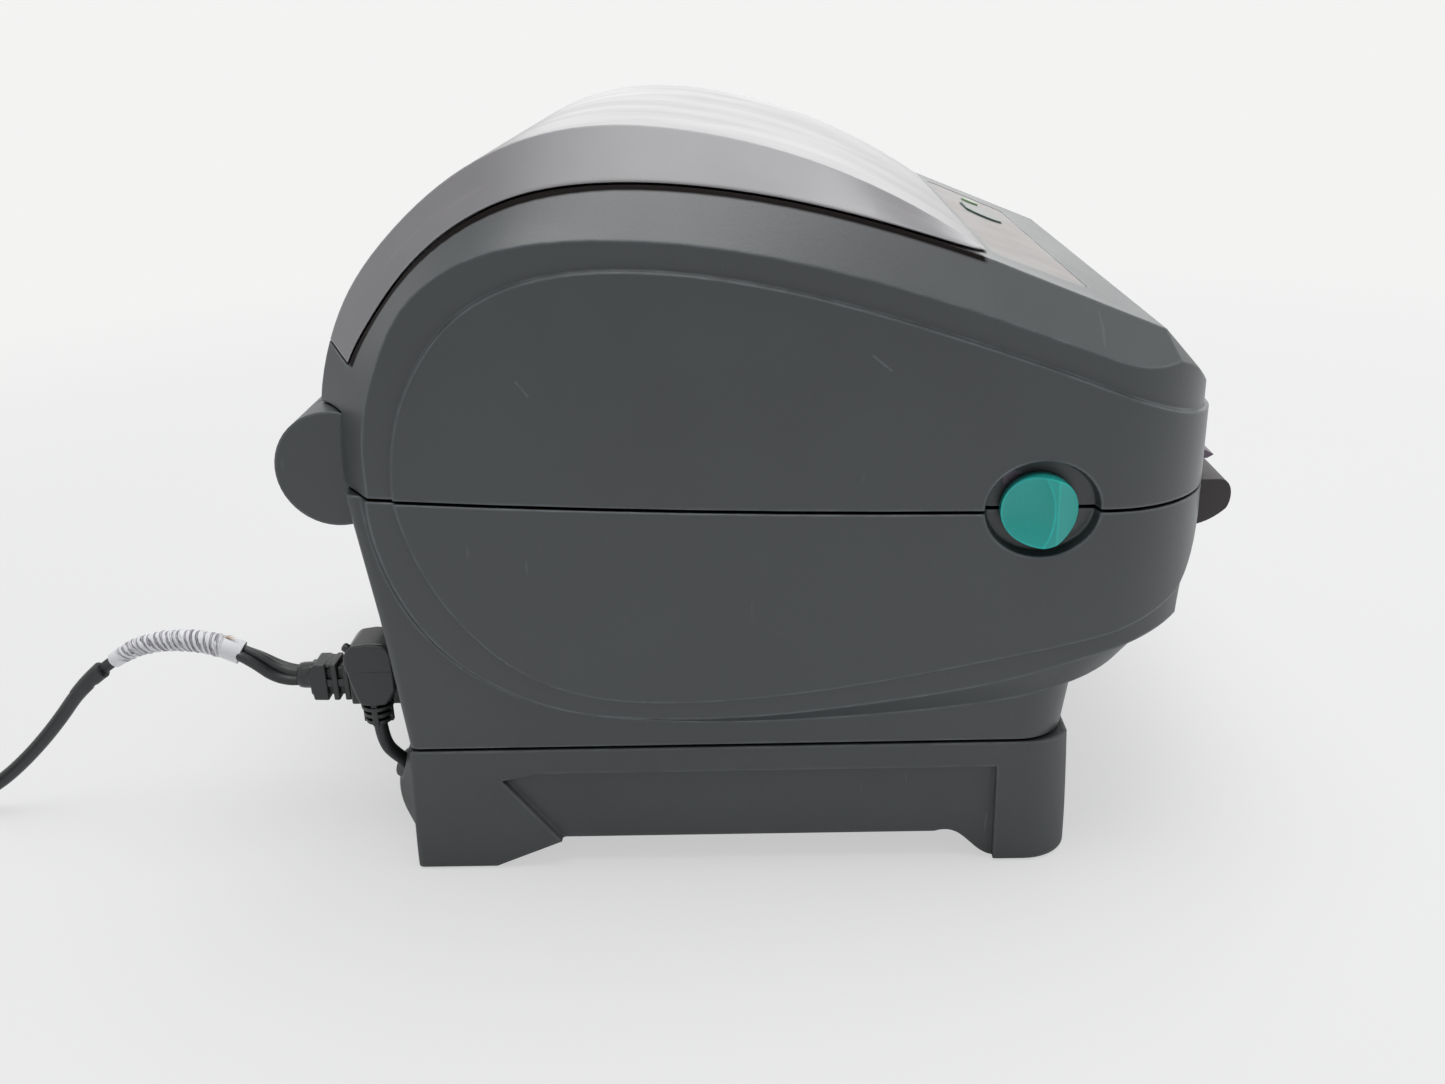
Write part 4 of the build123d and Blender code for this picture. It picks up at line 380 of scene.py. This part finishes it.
def floor_paper():
    """White paper that glows to the camera, wholly so further out, with the glow darker close to the printer
    as painted shade: real shadows are soft and fade away.
    """
    s = Shade("floor_paper", Roughness=0.9)
    s.color(s.mix(s.noise(6.0, 4.0), (0.84, 0.84, 0.845, 1), (0.86, 0.86, 0.865, 1)))
    s.bsdf.inputs["Specular IOR Level"].default_value = 0.2
    away = s.vector("DISTANCE", s.place, FLOOR_MIDDLE)
    far = s.add("ShaderNodeMapRange", {"Value": away, "From Min": SHADE_NEAR, "From Max": SHADE_FAR},
                interpolation_type="SMOOTHSTEP").outputs[0]
    seen = s.add("ShaderNodeLightPath").outputs["Is Camera Ray"]
    # painted shade: the glow is darker close to the printer and turns WHITE further out
    paper = s.mix(far, (*NEAR_SHADE_WHITE, 1), (*WHITE, 1))
    glow = s.add("ShaderNodeEmission", {"Color": paper, "Strength": 1.0}).outputs[0]
    share = s.math("MULTIPLY", s.fit(far, 0.0, 1.0, GLOW_NEAR, 1.0), seen)
    both = s.add("ShaderNodeMixShader", {0: share, 1: s.bsdf.outputs[0], 2: glow})
    s.tree.links.new(both.outputs[0], s.tree.nodes["Material Output"].inputs["Surface"])
    return s.mat


def striped_wrap():
    """White wrap with slanted, uneven grey turns; u runs along it in millimetres, v round it."""
    s = Shade("striped_wrap", Roughness=0.62)
    uv = s.add("ShaderNodeUVMap", uv_map="along").outputs[0]
    parts = s.add("ShaderNodeSeparateXYZ", {0: uv})
    along, around = parts.outputs[0], parts.outputs[1]
    wobble = s.add("ShaderNodeTexNoise", {"Vector": uv, "Scale": 0.9, "Detail": 3.0}).outputs["Fac"]
    lean = s.math("ADD", along, s.math("MULTIPLY", s.math("SINE", s.math("MULTIPLY", around, 6.2832)), 1.1))
    lean = s.math("ADD", lean, s.math("MULTIPLY", wobble, 1.7))
    waves = s.math("SINE", s.math("MULTIPLY", lean, 4.4))
    thin = s.math("SINE", s.math("MULTIPLY", lean, 12.6))
    stripe = s.fit(s.math("ADD", waves, s.math("MULTIPLY", thin, 0.75)), -0.30, 0.45)
    streak = s.add("ShaderNodeTexNoise", {"Vector": uv, "Scale": 3.5, "Detail": 2.0}).outputs["Fac"]
    stripe = s.math("MULTIPLY", stripe, s.fit(streak, 0.3, 0.6, 0.55, 1.0))
    inside = s.math("MULTIPLY", s.fit(along, 4.4, 5.2), s.fit(along, 31.0, 29.4))
    stripe = s.math("MULTIPLY", stripe, inside)
    grey = s.mix(s.fit(wobble, 0.4, 0.6), (0.10, 0.09, 0.12, 1), (0.20, 0.19, 0.22, 1))
    s.color(s.mix(stripe, (0.74, 0.74, 0.76, 1), grey))
    s.bump(s.math("SUBTRACT", 1.0, stripe), 0.4, 0.0001)
    return s.mat


def plain(name, colour, rough):
    s = Shade(name, Roughness=rough)
    grain = s.noise(PLAIN_GRAIN, 2.0)
    s.color(s.mix(s.fit(grain, 0.3, 0.7), tone(colour, 0.9), tone(colour, 1.1)))
    s.bump(grain, 0.2, 0.00003)
    return s.mat


def lens():
    s = Shade("lens_green", Roughness=0.15, IOR=1.49)
    s.color(s.mix(s.fit(s.noise(900.0, 2.0), 0.3, 0.7), (0.20, 0.34, 0.18, 1), (0.26, 0.42, 0.23, 1)))
    s.bump(s.noise(1400.0, 1.0), 0.1, 0.00002)
    return s.mat


# hairlines read from the left side, each (y, z) to (y, z) in metres, with its width; the right gets them too
SIDE_MARKS = [
    ((-0.0215, 0.1215), (-0.0250, 0.1185), 0.00030),
    ((0.0500, 0.1180), (0.0478, 0.1150), 0.00030),
    ((0.0855, 0.0920), (0.0845, 0.0840), 0.00025),
]

CASE = (0.037, 0.0425, 0.045)
BASE = (0.055, 0.060, 0.061)
TEAL = (0.012, 0.370, 0.330)
BEZEL = (0.050, 0.045, 0.047)
CABLE = (0.018, 0.020, 0.021)
PLUG = (0.022, 0.024, 0.025)


def make_materials():
    return {
        "case": moulded("case_plastic", CASE, rough=0.38, radius=0.0009, wear_and_highlight=5.0,
                        marks=SIDE_MARKS, specular=0.65),
        # the upper case also gets the painted shade line round the window cover
        "upper": moulded("upper_case_plastic", CASE, rough=0.38, radius=0.0009, wear_and_highlight=5.0,
                         marks=SIDE_MARKS, specular=0.65, groove_shade=True),
        "button": button_film(),
        "base": moulded("base_plastic", BASE, rough=0.50, radius=0.0012, wear_and_highlight=2.6),
        "bezel": moulded("bezel_plastic", BEZEL, rough=0.55, radius=0.0005, specular=0.3),
        "tear_steel": metal("tear_bar_steel", (0.12, 0.10, 0.125), 0.4, (8, 1, 1)),
        "window": cover_plastic(),
        "panel": overlay_film(),
        # the teal latch: a wider reach paints shade into its finger scoop, in dark teal
        "teal": moulded("teal_plastic", TEAL, rough=0.34, grain=1200.0, radius=0.0006, wear_and_highlight=2.2, specular=0.45,
                        reach=0.008, gap=(0.004, 0.110, 0.100, 1)),
        "steel": metal("plain_steel", (0.56, 0.57, 0.58), 0.30, (1, 6, 6)),
        "aluminium": metal("satin_aluminium", (0.66, 0.67, 0.68), 0.36, (8, 1, 1)),
        "platen_rubber": rubber("platen_rubber_grey", (0.035, 0.035, 0.037), 0.7, 2600.0),
        "nylon": plain("natural_nylon", (0.62, 0.61, 0.56), 0.4),
        "board": board_green(),
        "ceramic": plain("glazed_ceramic", (0.50, 0.48, 0.45), 0.2),
        "socket": rubber("socket_black", (0.020, 0.020, 0.022), 0.45, 1400.0),
        "switch": rubber("switch_black", (0.014, 0.014, 0.015), 0.25, 900.0, 0.00002),
        "lamp": lens(),
        "feet": rubber("feet_rubber", (0.022, 0.022, 0.023), 0.75, 1500.0),
        "cable": rubber("cable_jacket", CABLE, 0.45, 1500.0),
        "paper_wrap": striped_wrap(),
        "plug": moulded("plug_plastic", PLUG, rough=0.34, grain=1100.0, radius=0.0003, wear_and_highlight=1.7),
        "relief": moulded("relief_plastic", (0.026, 0.028, 0.029), rough=0.45, radius=0.0002, wear_and_highlight=1.6),
        "floor": floor_paper(),
        "fibre": plain("tan_fibre", (0.62, 0.47, 0.34), 0.8),
    }


OWN_LOOK = {"front_bezel": "bezel", "tear_bar": "tear_steel", "upper_case": "upper", "feed_button": "button",
            "latch_keepers": "tear_steel"}


def dress_nodes(looks):
    """Gives each CAD piece its own look, or else the look of its material slot."""
    for part in frame["record"]["subparts"]:
        piece = frame["nodes"][part["node"]]
        mesh = piece.data
        mesh.materials.clear()
        mesh.materials.append(looks[OWN_LOOK.get(part["node"], part["material_slot"])])


# ---------------------------------------------------------------- mesh helpers (mm in, metres out)
def new_piece(name, bm, material, body="base", smooth=35.0, bevel=0.0, segments=2):
    bmesh.ops.recalc_face_normals(bm, faces=bm.faces)
    mesh = bpy.data.meshes.new(name)
    bm.to_mesh(mesh)
    bm.free()
    mesh.materials.append(material)
    piece = bpy.data.objects.new(name, mesh)
    scene.collection.objects.link(piece)
    if bevel:
        round_off = piece.modifiers.new("round_off", "BEVEL")
        round_off.width = bevel * MM
        round_off.segments = segments
        round_off.limit_method = "ANGLE"
        round_off.angle_limit = math.radians(30)
    for face in mesh.polygons:
        face.use_smooth = True
    mesh.set_sharp_from_angle(angle=math.radians(smooth))
    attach(piece, body)
    return piece


def prism(bm, outline, low, high, axis="x"):
    """A closed outline in the two other axes, made into a solid between low and high on x or z."""
    def place(u, v, w):
        return (w, u, v) if axis == "x" else (u, v, w)
    rings = []
    for w in (low, high):
        rings.append([bm.verts.new(Vector(place(u, v, w)) * MM) for u, v in outline])
    bm.faces.new(rings[0])
    bm.faces.new(rings[1])
    for i in range(len(outline)):
        j = (i + 1) % len(outline)
        bm.faces.new((rings[0][i], rings[0][j], rings[1][j], rings[1][i]))


def box(bm, x0, x1, y0, y1, z0, z1):
    prism(bm, [(y0, z0), (y1, z0), (y1, z1), (y0, z1)], x0, x1)


def lathe(bm, centre, axis, profile, around):
    """Turns (distance along, radius) pairs about an axis through centre."""
    axis = Vector(axis).normalized()
    side = axis.orthogonal().normalized()
    other = axis.cross(side)
    rings = []
    for along, radius in profile:
        ring = []
        for k in range(around):
            a = 2 * math.pi * k / around
            ring.append(bm.verts.new((Vector(centre) + axis * along
                                      + (side * math.cos(a) + other * math.sin(a)) * radius) * MM))
        rings.append(ring)
    bm.faces.new(rings[0])
    bm.faces.new(rings[-1])
    for low, high in zip(rings, rings[1:]):
        for k in range(around):
            j = (k + 1) % around
            bm.faces.new((low[k], low[j], high[j], high[k]))


def line_frames(points):
    """For each point of a line: where it is, and two directions across the line that don't twist."""
    frames = []
    across = None
    for i, point in enumerate(points):
        ahead = (points[min(i + 1, len(points) - 1)] - points[max(i - 1, 0)]).normalized()
        if across is None:
            across = Vector((1, 0, 0)) - ahead * ahead.x
        across = (across - ahead * across.dot(ahead)).normalized()
        frames.append((point, across, ahead.cross(across)))
    return frames


def sweep(bm, frames, ring_at, around, uv=False):
    """A closed skin along the frames; ring_at(i, angle) gives where it lies from the line, in mm,
    along each of the frame's two directions across it."""
    rings = []
    for i, (point, across, over) in enumerate(frames):
        ring = []
        for k in range(around):
            angle = 2 * math.pi * k / around
            u, v = ring_at(i, angle)
            ring.append(bm.verts.new(point + (across * u + over * v) * MM))
        rings.append(ring)
    bm.faces.new(rings[0])
    bm.faces.new(rings[-1])
    layer = bm.loops.layers.uv.new("along") if uv else None
    total, lengths = 0.0, [0.0]
    for (a, _, _), (b, _, _) in zip(frames, frames[1:]):
        total += (b - a).length / MM
        lengths.append(total)
    for i, (low, high) in enumerate(zip(rings, rings[1:])):
        for k in range(around):
            j = (k + 1) % around
            face = bm.faces.new((low[k], low[j], high[j], high[k]))
            if uv:
                spots = ((i, k), (i, k + 1), (i + 1, k + 1), (i + 1, k))
                for loop, (row, step) in zip(face.loops, spots):
                    loop[layer].uv = (lengths[row], step / around)


# ---------------------------------------------------------------- cords
DATA_X = -51.0
DATA_Z = 37.4
FOLD_ROUTE = [              # control points in mm, as in the other routes
    (DATA_X, 115.0, DATA_Z), (DATA_X, 119.0, DATA_Z), (DATA_X, 126.2, 42.8), (DATA_X, 137.0, 47.3),
    (DATA_X, 149.0, 47.4), (DATA_X, 157.6, 44.3), (DATA_X, 163.5, 39.9)]
FLOOR_Z = 1.75
DATA_ROUTE = [
    (DATA_X, 163.5, 39.9), (DATA_X, 169.2, 35.7), (DATA_X, 178.0, 25.0), (DATA_X, 187.0, 15.9),
    (DATA_X, 196.0, 8.5), (DATA_X, 205.5, 3.4), (-50.5, 216.0, FLOOR_Z), (-47.4, 225.0, FLOOR_Z)]
CORD_D = 3.5
COIL_MIDDLE = (-70.0, 236.0)
COIL_OUT, COIL_LANE = 24.4, 3.8
COIL_START = -12.0         # degrees, where the cord joins the coil's outer lane
COIL_POINTS = 16           # control points to a turn
FAR_X = -87.0


def coil_points():
    """Four flat layers of three turns, inwards and outwards in turn, with a half turn to climb."""
    inner = COIL_OUT - 3 * COIL_LANE
    runs = []
    for layer in range(4):
        ends = (COIL_OUT, inner) if layer % 2 == 0 else (inner, COIL_OUT)
        height = FLOOR_Z + CORD_D * layer
        runs.append((3.0, ends, (height, height)))
        if layer < 3:
            runs.append((0.5, (ends[1], ends[1]), (height, height + CORD_D)))
    points = []
    turned = 0.0
    for turns, (r0, r1), (z0, z1) in runs:
        count = round(turns * COIL_POINTS)
        for k in range(count):
            part = k / count
            angle = math.radians(COIL_START) + 2 * math.pi * (turned + turns * part)
            radius = r0 + (r1 - r0) * part
            points.append((COIL_MIDDLE[0] + radius * math.cos(angle),
                           COIL_MIDDLE[1] + radius * math.sin(angle), z0 + (z1 - z0) * part))
        turned += turns
    return points, math.radians(COIL_START) + 2 * math.pi * turned


def smooth_curve(name, points, radius):
    """One open NURBS line whose control points are the route's."""
    data = bpy.data.curves.new(name, "CURVE")
    data.dimensions = "3D"
    data.resolution_u = 8
    data.bevel_depth = radius * MM
    data.bevel_resolution = 5
    data.use_fill_caps = True
    spline = data.splines.new("NURBS")
    spline.points.add(len(points) - 1)
    for spot, point in zip(spline.points, points):
        spot.co = (*[v * MM for v in point], 1.0)
    spline.order_u = 3
    spline.use_endpoint_u = True
    piece = bpy.data.objects.new(name, data)
    scene.collection.objects.link(piece)
    return piece


def read_line(points, resolution=12):
    """The points of the smooth line that these control points make."""
    guide = smooth_curve("guide", points, 0.0)
    guide.data.use_fill_caps = False
    guide.data.resolution_u = resolution
    bpy.context.view_layer.update()
    mesh = bpy.data.meshes.new_from_object(guide)
    line = [v.co.copy() for v in mesh.vertices]
    bpy.data.meshes.remove(mesh)
    bpy.data.objects.remove(guide)
    return line


STRAND_R = 1.25             # mm, radius of one wire
STRANDS_START, STRANDS_TWIST = -62, 150     # degrees, at the plug and over the whole length
WRAP_FROM = 0.34            # share of the line's steps before the wrap takes the wires in
WRAP_START, WRAP_END = 0.1280, 0.1605       # y of the wrap's ends, in metres
WRAP_SCALE = 33.0           # what its ridges count as its length; the bent line is 34.3 mm long
WRAP_STEP = 0.00025         # metres between the wrap's rings
TUFT_Y, TUFT_UP = 0.1315, 2.9   # y of the loose fibres in metres, and mm above the line
JACKET_END_Y = 0.1715       # metres


def bundle(looks, line):
    """Four wires that come out of the plug close together, flatten and twist, and run on inside the wrap."""
    frames = line_frames(line)
    last = len(frames) - 1
    bm = bmesh.new()
    for n in range(4):
        spread = (n - 1.5) / 1.5

        def ring_at(i, angle, n=n, spread=spread):
            part = i / last
            turn = math.radians(STRANDS_START + STRANDS_TWIST * part)
            flat = 0.7 + 0.3 * math.sin(math.pi * min(0.5, part * 2.4))
            inside = min(1.0, max(0.0, (part - WRAP_FROM) / 0.05))
            slim = (1 - inside) + inside * (0.52 - 0.16 * part)
            wide = 1.9 * spread * flat * slim
            deep = (1.15 - 0.5 * flat) * slim * (1 if n % 2 else -1)
            radius = STRAND_R * (1 - inside + inside * 0.55)
            u = wide * math.cos(turn) - deep * math.sin(turn) + radius * math.cos(angle)
            v = wide * math.sin(turn) + deep * math.cos(turn) + radius * math.sin(angle)
            return u, v
        sweep(bm, frames, ring_at, 14)
    return new_piece("data_wires", bm, looks["cable"])


def wrap(looks, line):
    """Tape wound round the wires in slanting turns, a little uneven."""
    part = [p for p in line if WRAP_START <= p.y <= WRAP_END]
    dense = []
    for a, b in zip(part, part[1:]):
        steps = max(1, round((b - a).length / WRAP_STEP))
        dense.extend(a.lerp(b, k / steps) for k in range(steps))
    frames = line_frames(dense)
    last = len(frames) - 1

    def ring_at(i, angle):
        along = i / last * WRAP_SCALE
        lean = along + 1.1 * math.sin(angle)
        radius = 2.95 - 0.95 * (i / last) ** 1.3
        ridge = 0.10 * math.sin(lean * 3.1) + 0.05 * math.sin(lean * 8.3 + 1.0)
        ends = min(1.0, max(0.0, (along - 4.2) / 0.8)) * min(1.0, max(0.0, (30.5 - along) / 1.2))
        wave = 0.12 * noise.noise(Vector((along * 0.4, math.cos(angle), math.sin(angle))))
        radius += ridge * ends + wave
        return radius * math.cos(angle), radius * 0.97 * math.sin(angle)
    bm = bmesh.new()
    sweep(bm, frames, ring_at, 28, uv=True)
    return new_piece("cord_wrap_tape", bm, looks["paper_wrap"], smooth=60.0)


FIBRES = [                  # sideways lean, length and lift of each loose fibre
    (0.0, 3.6, 0.55), (0.35, 3.0, 0.9), (-0.3, 3.9, 0.3), (0.15, 2.4, 1.1), (-0.1, 3.2, 0.7)]


def tuft(looks, line):
    """Loose fibres that stick out of the wrap's front end."""
    root = min(line, key=lambda p: abs(p.y - TUFT_Y)) + Vector((0, 0, TUFT_UP)) * MM
    bm = bmesh.new()
    for lean, length, lift in FIBRES:
        spots = []
        for k in range(7):
            t = k / 6
            away = Vector((lean * 1.4 * t - 0.4, 1.0 - length * t, -0.4 + lift * math.sin(2.2 * t)))
            spots.append(root + away * MM)

        def ring_at(i, angle):
            thin = 1.05 - i / 6
            return 0.24 * thin * math.cos(angle), 0.12 * thin * math.sin(angle)
        sweep(bm, line_frames(spots), ring_at, 6)
    return new_piece("wrap_fibres", bm, looks["fibre"])


def jacket_end(looks, line):
    """Cut end of the cord's outer jacket, behind the wrap."""
    frames = line_frames([p for p in line if p.y <= JACKET_END_Y])
    last = len(frames) - 1

    def ring_at(i, angle):
        part = i / last
        radius = 2.15 - 0.33 * part
        radius -= 0.35 if 0.42 < part < 0.55 and math.sin(angle) > 0.2 else 0.0
        radius += 0.10 * math.sin(3 * angle + 1.0)
        return radius * math.cos(angle), radius * math.sin(angle)
    bm = bmesh.new()
    sweep(bm, frames, ring_at, 20)
    return new_piece("jacket_end", bm, looks["cable"])


TIE_OUTLINE = [             # out from the coil's middle, and height
    (10.9, 1.4), (11.8, 0.15), (26.0, 0.15), (26.8, 1.4),
    (26.8, 13.2), (26.0, 14.5), (11.8, 14.5), (10.9, 13.2)]
TIE_MIDDLE = (18.8, 7.3)
TIE_ANGLE = -150            # degrees round the coil
TIE_HALF, TIE_THICK = 2.0, 0.6


def coil_tie(looks):
    """Flat tie round the coil's section."""
    angle = math.radians(TIE_ANGLE)
    out = Vector((math.cos(angle), math.sin(angle), 0))
    along = Vector((-out.y, out.x, 0))
    centre = Vector((*COIL_MIDDLE, 0))
    bm = bmesh.new()
    for width in (-TIE_HALF, TIE_HALF):
        for grow in (0.0, -TIE_THICK):
            for r, z in TIE_OUTLINE:
                rr = r + grow * (1 if r > TIE_MIDDLE[0] else -1)
                zz = z + grow * (1 if z > TIE_MIDDLE[1] else -1)
                bm.verts.new((centre + out * rr + along * width + Vector((0, 0, zz))) * MM)
    bm.verts.ensure_lookup_table()
    n = len(TIE_OUTLINE)
    for k in range(n):
        j = (k + 1) % n
        a, b, c, d = 0, n, 2 * n, 3 * n
        for p, q in ((a, c), (b, d), (a, b), (c, d)):
            bm.faces.new((bm.verts[p + k], bm.verts[p + j], bm.verts[q + j], bm.verts[q + k]))
    return new_piece("coil_tie", bm, looks["cable"], bevel=0.15)


def data_plug(looks):
    """Shell in the port, moulded body, and a ribbed collar with deep slots."""
    z = DATA_Z
    bm = bmesh.new()
    box(bm, DATA_X - 3.9, DATA_X + 3.9, 75.2, 87.0, z - 2.9, z + 4.1)
    box(bm, DATA_X - 5.9, DATA_X + 5.9, 86.1, 101.2, z - 5.3, z + 5.3)
    box(bm, DATA_X - 2.6, DATA_X + 2.6, 100.0, 112.0, z - 4.2, z + 3.0)
    for y0, y1 in ((101.9, 103.4), (104.7, 106.2)):
        box(bm, DATA_X - 3.7, DATA_X + 3.7, y0, y1, z - 5.3, z + 4.2)
    prism(bm, [(107.4, z - 5.3), (111.0, z - 5.2), (112.2, z + 1.2), (110.2, z + 4.2), (107.4, z + 4.2)],
          DATA_X - 3.7, DATA_X + 3.7)
    box(bm, DATA_X - 3.4, DATA_X + 3.4, 100.5, 109.0, z - 1.9, z + 0.2)
    box(bm, DATA_X - 3.2, DATA_X + 3.2, 106.0, 108.0, z + 3.2, z + 4.1)
    piece = new_piece("data_plug_body", bm, looks["plug"], bevel=0.35, segments=3)
    bm = bmesh.new()
    lathe(bm, (DATA_X, 110.5, z), (0, 1, 0), [(0, 3.3), (3.2, 3.2), (4.2, 3.0), (4.5, 2.7)], 28)
    tail = new_piece("data_plug_tail", bm, looks["plug"])
    return piece, tail


def far_plug(looks):
    """Plug at the cord's far end, lying on the coil."""
    y = COIL_MIDDLE[1]
    bm = bmesh.new()
    body = [(FAR_X - 7.4, y + 0), (FAR_X - 6.4, y - 4), (FAR_X + 6.4, y - 4), (FAR_X + 7.4, y + 0),
            (FAR_X + 7.4, y + 8), (FAR_X + 5.0, y + 13), (FAR_X + 3.2, y + 15.9),
            (FAR_X - 3.2, y + 15.9), (FAR_X - 5.0, y + 13), (FAR_X - 7.4, y + 8)]
    prism(bm, body, 14.05, 21.4, "z")
    for k in range(3):
        box(bm, FAR_X - 5.6, FAR_X + 5.6, y + 1.2 + 2.4 * k, y + 2.4 + 2.4 * k, 14.2, 21.5)
    shell = new_piece("far_plug_body", bm, looks["plug"], bevel=0.7, segments=3)
    bm = bmesh.new()
    box(bm, FAR_X - 6, FAR_X + 6, y - 16, y - 3, 15.5, 20.0)
    tip = new_piece("far_plug_tip", bm, looks["steel"], bevel=0.25)
    return shell, tip


def add_cords(looks):
    fold_line = read_line(FOLD_ROUTE)
    wires = bundle(looks, fold_line)
    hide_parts("data_cord_fold")
    tape = wrap(looks, fold_line)
    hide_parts("cord_wrap")
    fibres = tuft(looks, fold_line)
    body, tail = data_plug(looks)
    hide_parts("data_plug")

    turns, angle = coil_points()
    top = FLOOR_Z + 3 * CORD_D
    ending = []
    for step, radius, height in ((0.0, COIL_OUT, top), (0.35, COIL_OUT, top + 1.2), (0.7, 24.2, top + 3.2)):
        ending.append((COIL_MIDDLE[0] + radius * math.cos(angle + step),
                       COIL_MIDDLE[1] + radius * math.sin(angle + step), height))
    ending += [(-77.0, 259.0, 16.8), (-84.0, 260.0, 17.7), (FAR_X, 256.0, 17.75), (FAR_X, 251.5, 17.75)]
    route = DATA_ROUTE + turns + ending
    cord = smooth_curve("data_cord_line", route, CORD_D / 2)
    cord.data.materials.append(looks["cable"])
    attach(cord, "base")
    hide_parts("data_cord", "data_cord_coil")
    line = read_line(route)
    collar = jacket_end(looks, line)
    shell, tip = far_plug(looks)
    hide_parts("data_far_plug")
    tie = coil_tie(looks)


JACK_X = -67.5
RELIEF_Y, RELIEF_TOP = 91.6, 40.3
RELIEF_RINGS, RING_PITCH = 4, 1.85
LEAD_R = 1.6


def dc_plug(looks):
    """Right-angle power plug: glossy rounded head, small nub, and a ribbed sleeve with slots."""
    bm = bmesh.new()
    head = [(85.3, 52.6), (85.8, 54.4), (87.4, 55.2), (91.0, 55.4), (94.6, 54.9), (96.2, 53.2), (96.6, 50.4),
            (95.9, 46.0), (94.9, 42.0), (94.0, 39.8), (88.2, 39.8), (86.9, 41.4), (85.5, 43.6)]
    prism(bm, head, JACK_X - 5.0, JACK_X + 5.4)
    brow = [(85.4, 52.6), (85.9, 54.4), (87.5, 55.3), (91.0, 55.5), (94.7, 55.0), (96.3, 53.2), (96.7, 50.6),
            (96.4, 48.4), (85.3, 48.4)]
    prism(bm, brow, JACK_X - 5.5, JACK_X - 4.0)
    body = new_piece("dc_plug_head", bm, looks["plug"], bevel=1.2, segments=4)
    bm = bmesh.new()
    lathe(bm, (JACK_X - 3.2, 95.6, 53.6), (0.0, 0.8, 0.6),
          [(0, 1.1), (1.0, 1.05), (1.35, 0.8), (1.5, 0.3)], 20)
    new_piece("dc_plug_nub", bm, looks["plug"])
    bm = bmesh.new()
    lathe(bm, (JACK_X, 84.0, 48.0), (0, 1, 0), [(0, 2.6), (2.0, 2.6)], 24)
    new_piece("dc_plug_barrel", bm, looks["steel"])
    # strain relief: a tapering core with square-cut rings, joined by a rib each side
    bm = bmesh.new()
    lathe(bm, (JACK_X, RELIEF_Y, RELIEF_TOP + 0.2), (0, 0, -1), [(0, 2.5), (6.4, 2.1), (7.0, 2.0)], 24)
    for k in range(RELIEF_RINGS):
        wide = 4.1 - 0.34 * k
        top = (JACK_X, RELIEF_Y, RELIEF_TOP - RING_PITCH * k)
        lathe(bm, top, (0, 0, -1), [(0, wide), (0.95, wide - 0.05)], 28)
    low = RELIEF_TOP - 6.6
    for side in (-2.9, 2.9):
        x, y = JACK_X + side, RELIEF_Y + side
        box(bm, JACK_X - 0.7, JACK_X + 0.7, y - 0.5, y + 0.5, low, RELIEF_TOP)
        box(bm, x - 0.5, x + 0.5, RELIEF_Y - 0.7, RELIEF_Y + 0.7, low, RELIEF_TOP)
    new_piece("dc_plug_relief", bm, looks["relief"], bevel=0.12)
    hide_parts("dc_plug")


def dc_lead(looks):
    """Short stiff lead from the plug into the power base."""
    route = [(JACK_X, RELIEF_Y, 35.0), (JACK_X, RELIEF_Y, 28.2),
             (-64.78, 89.39, 22.35), (-63.06, 86.35, 18.92)]
    frames = line_frames(read_line(route, 10))
    bm = bmesh.new()
    sweep(bm, frames, lambda i, a: (LEAD_R * math.cos(a), LEAD_R * math.sin(a)), 20)
    piece = new_piece("dc_lead_jacket", bm, looks["cable"])
    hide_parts("dc_lead")


# ---------------------------------------------------------------- build
add_camera()
scene.view_settings.view_transform = "Standard"
add_world()
looks = make_materials()
add_floor(looks["floor"])
for lamp_settings in LAMPS:
    add_lamp(*lamp_settings)
add_cords(looks)
dress_nodes(looks)
dc_plug(looks)
dc_lead(looks)

bpy.context.view_layer.update()
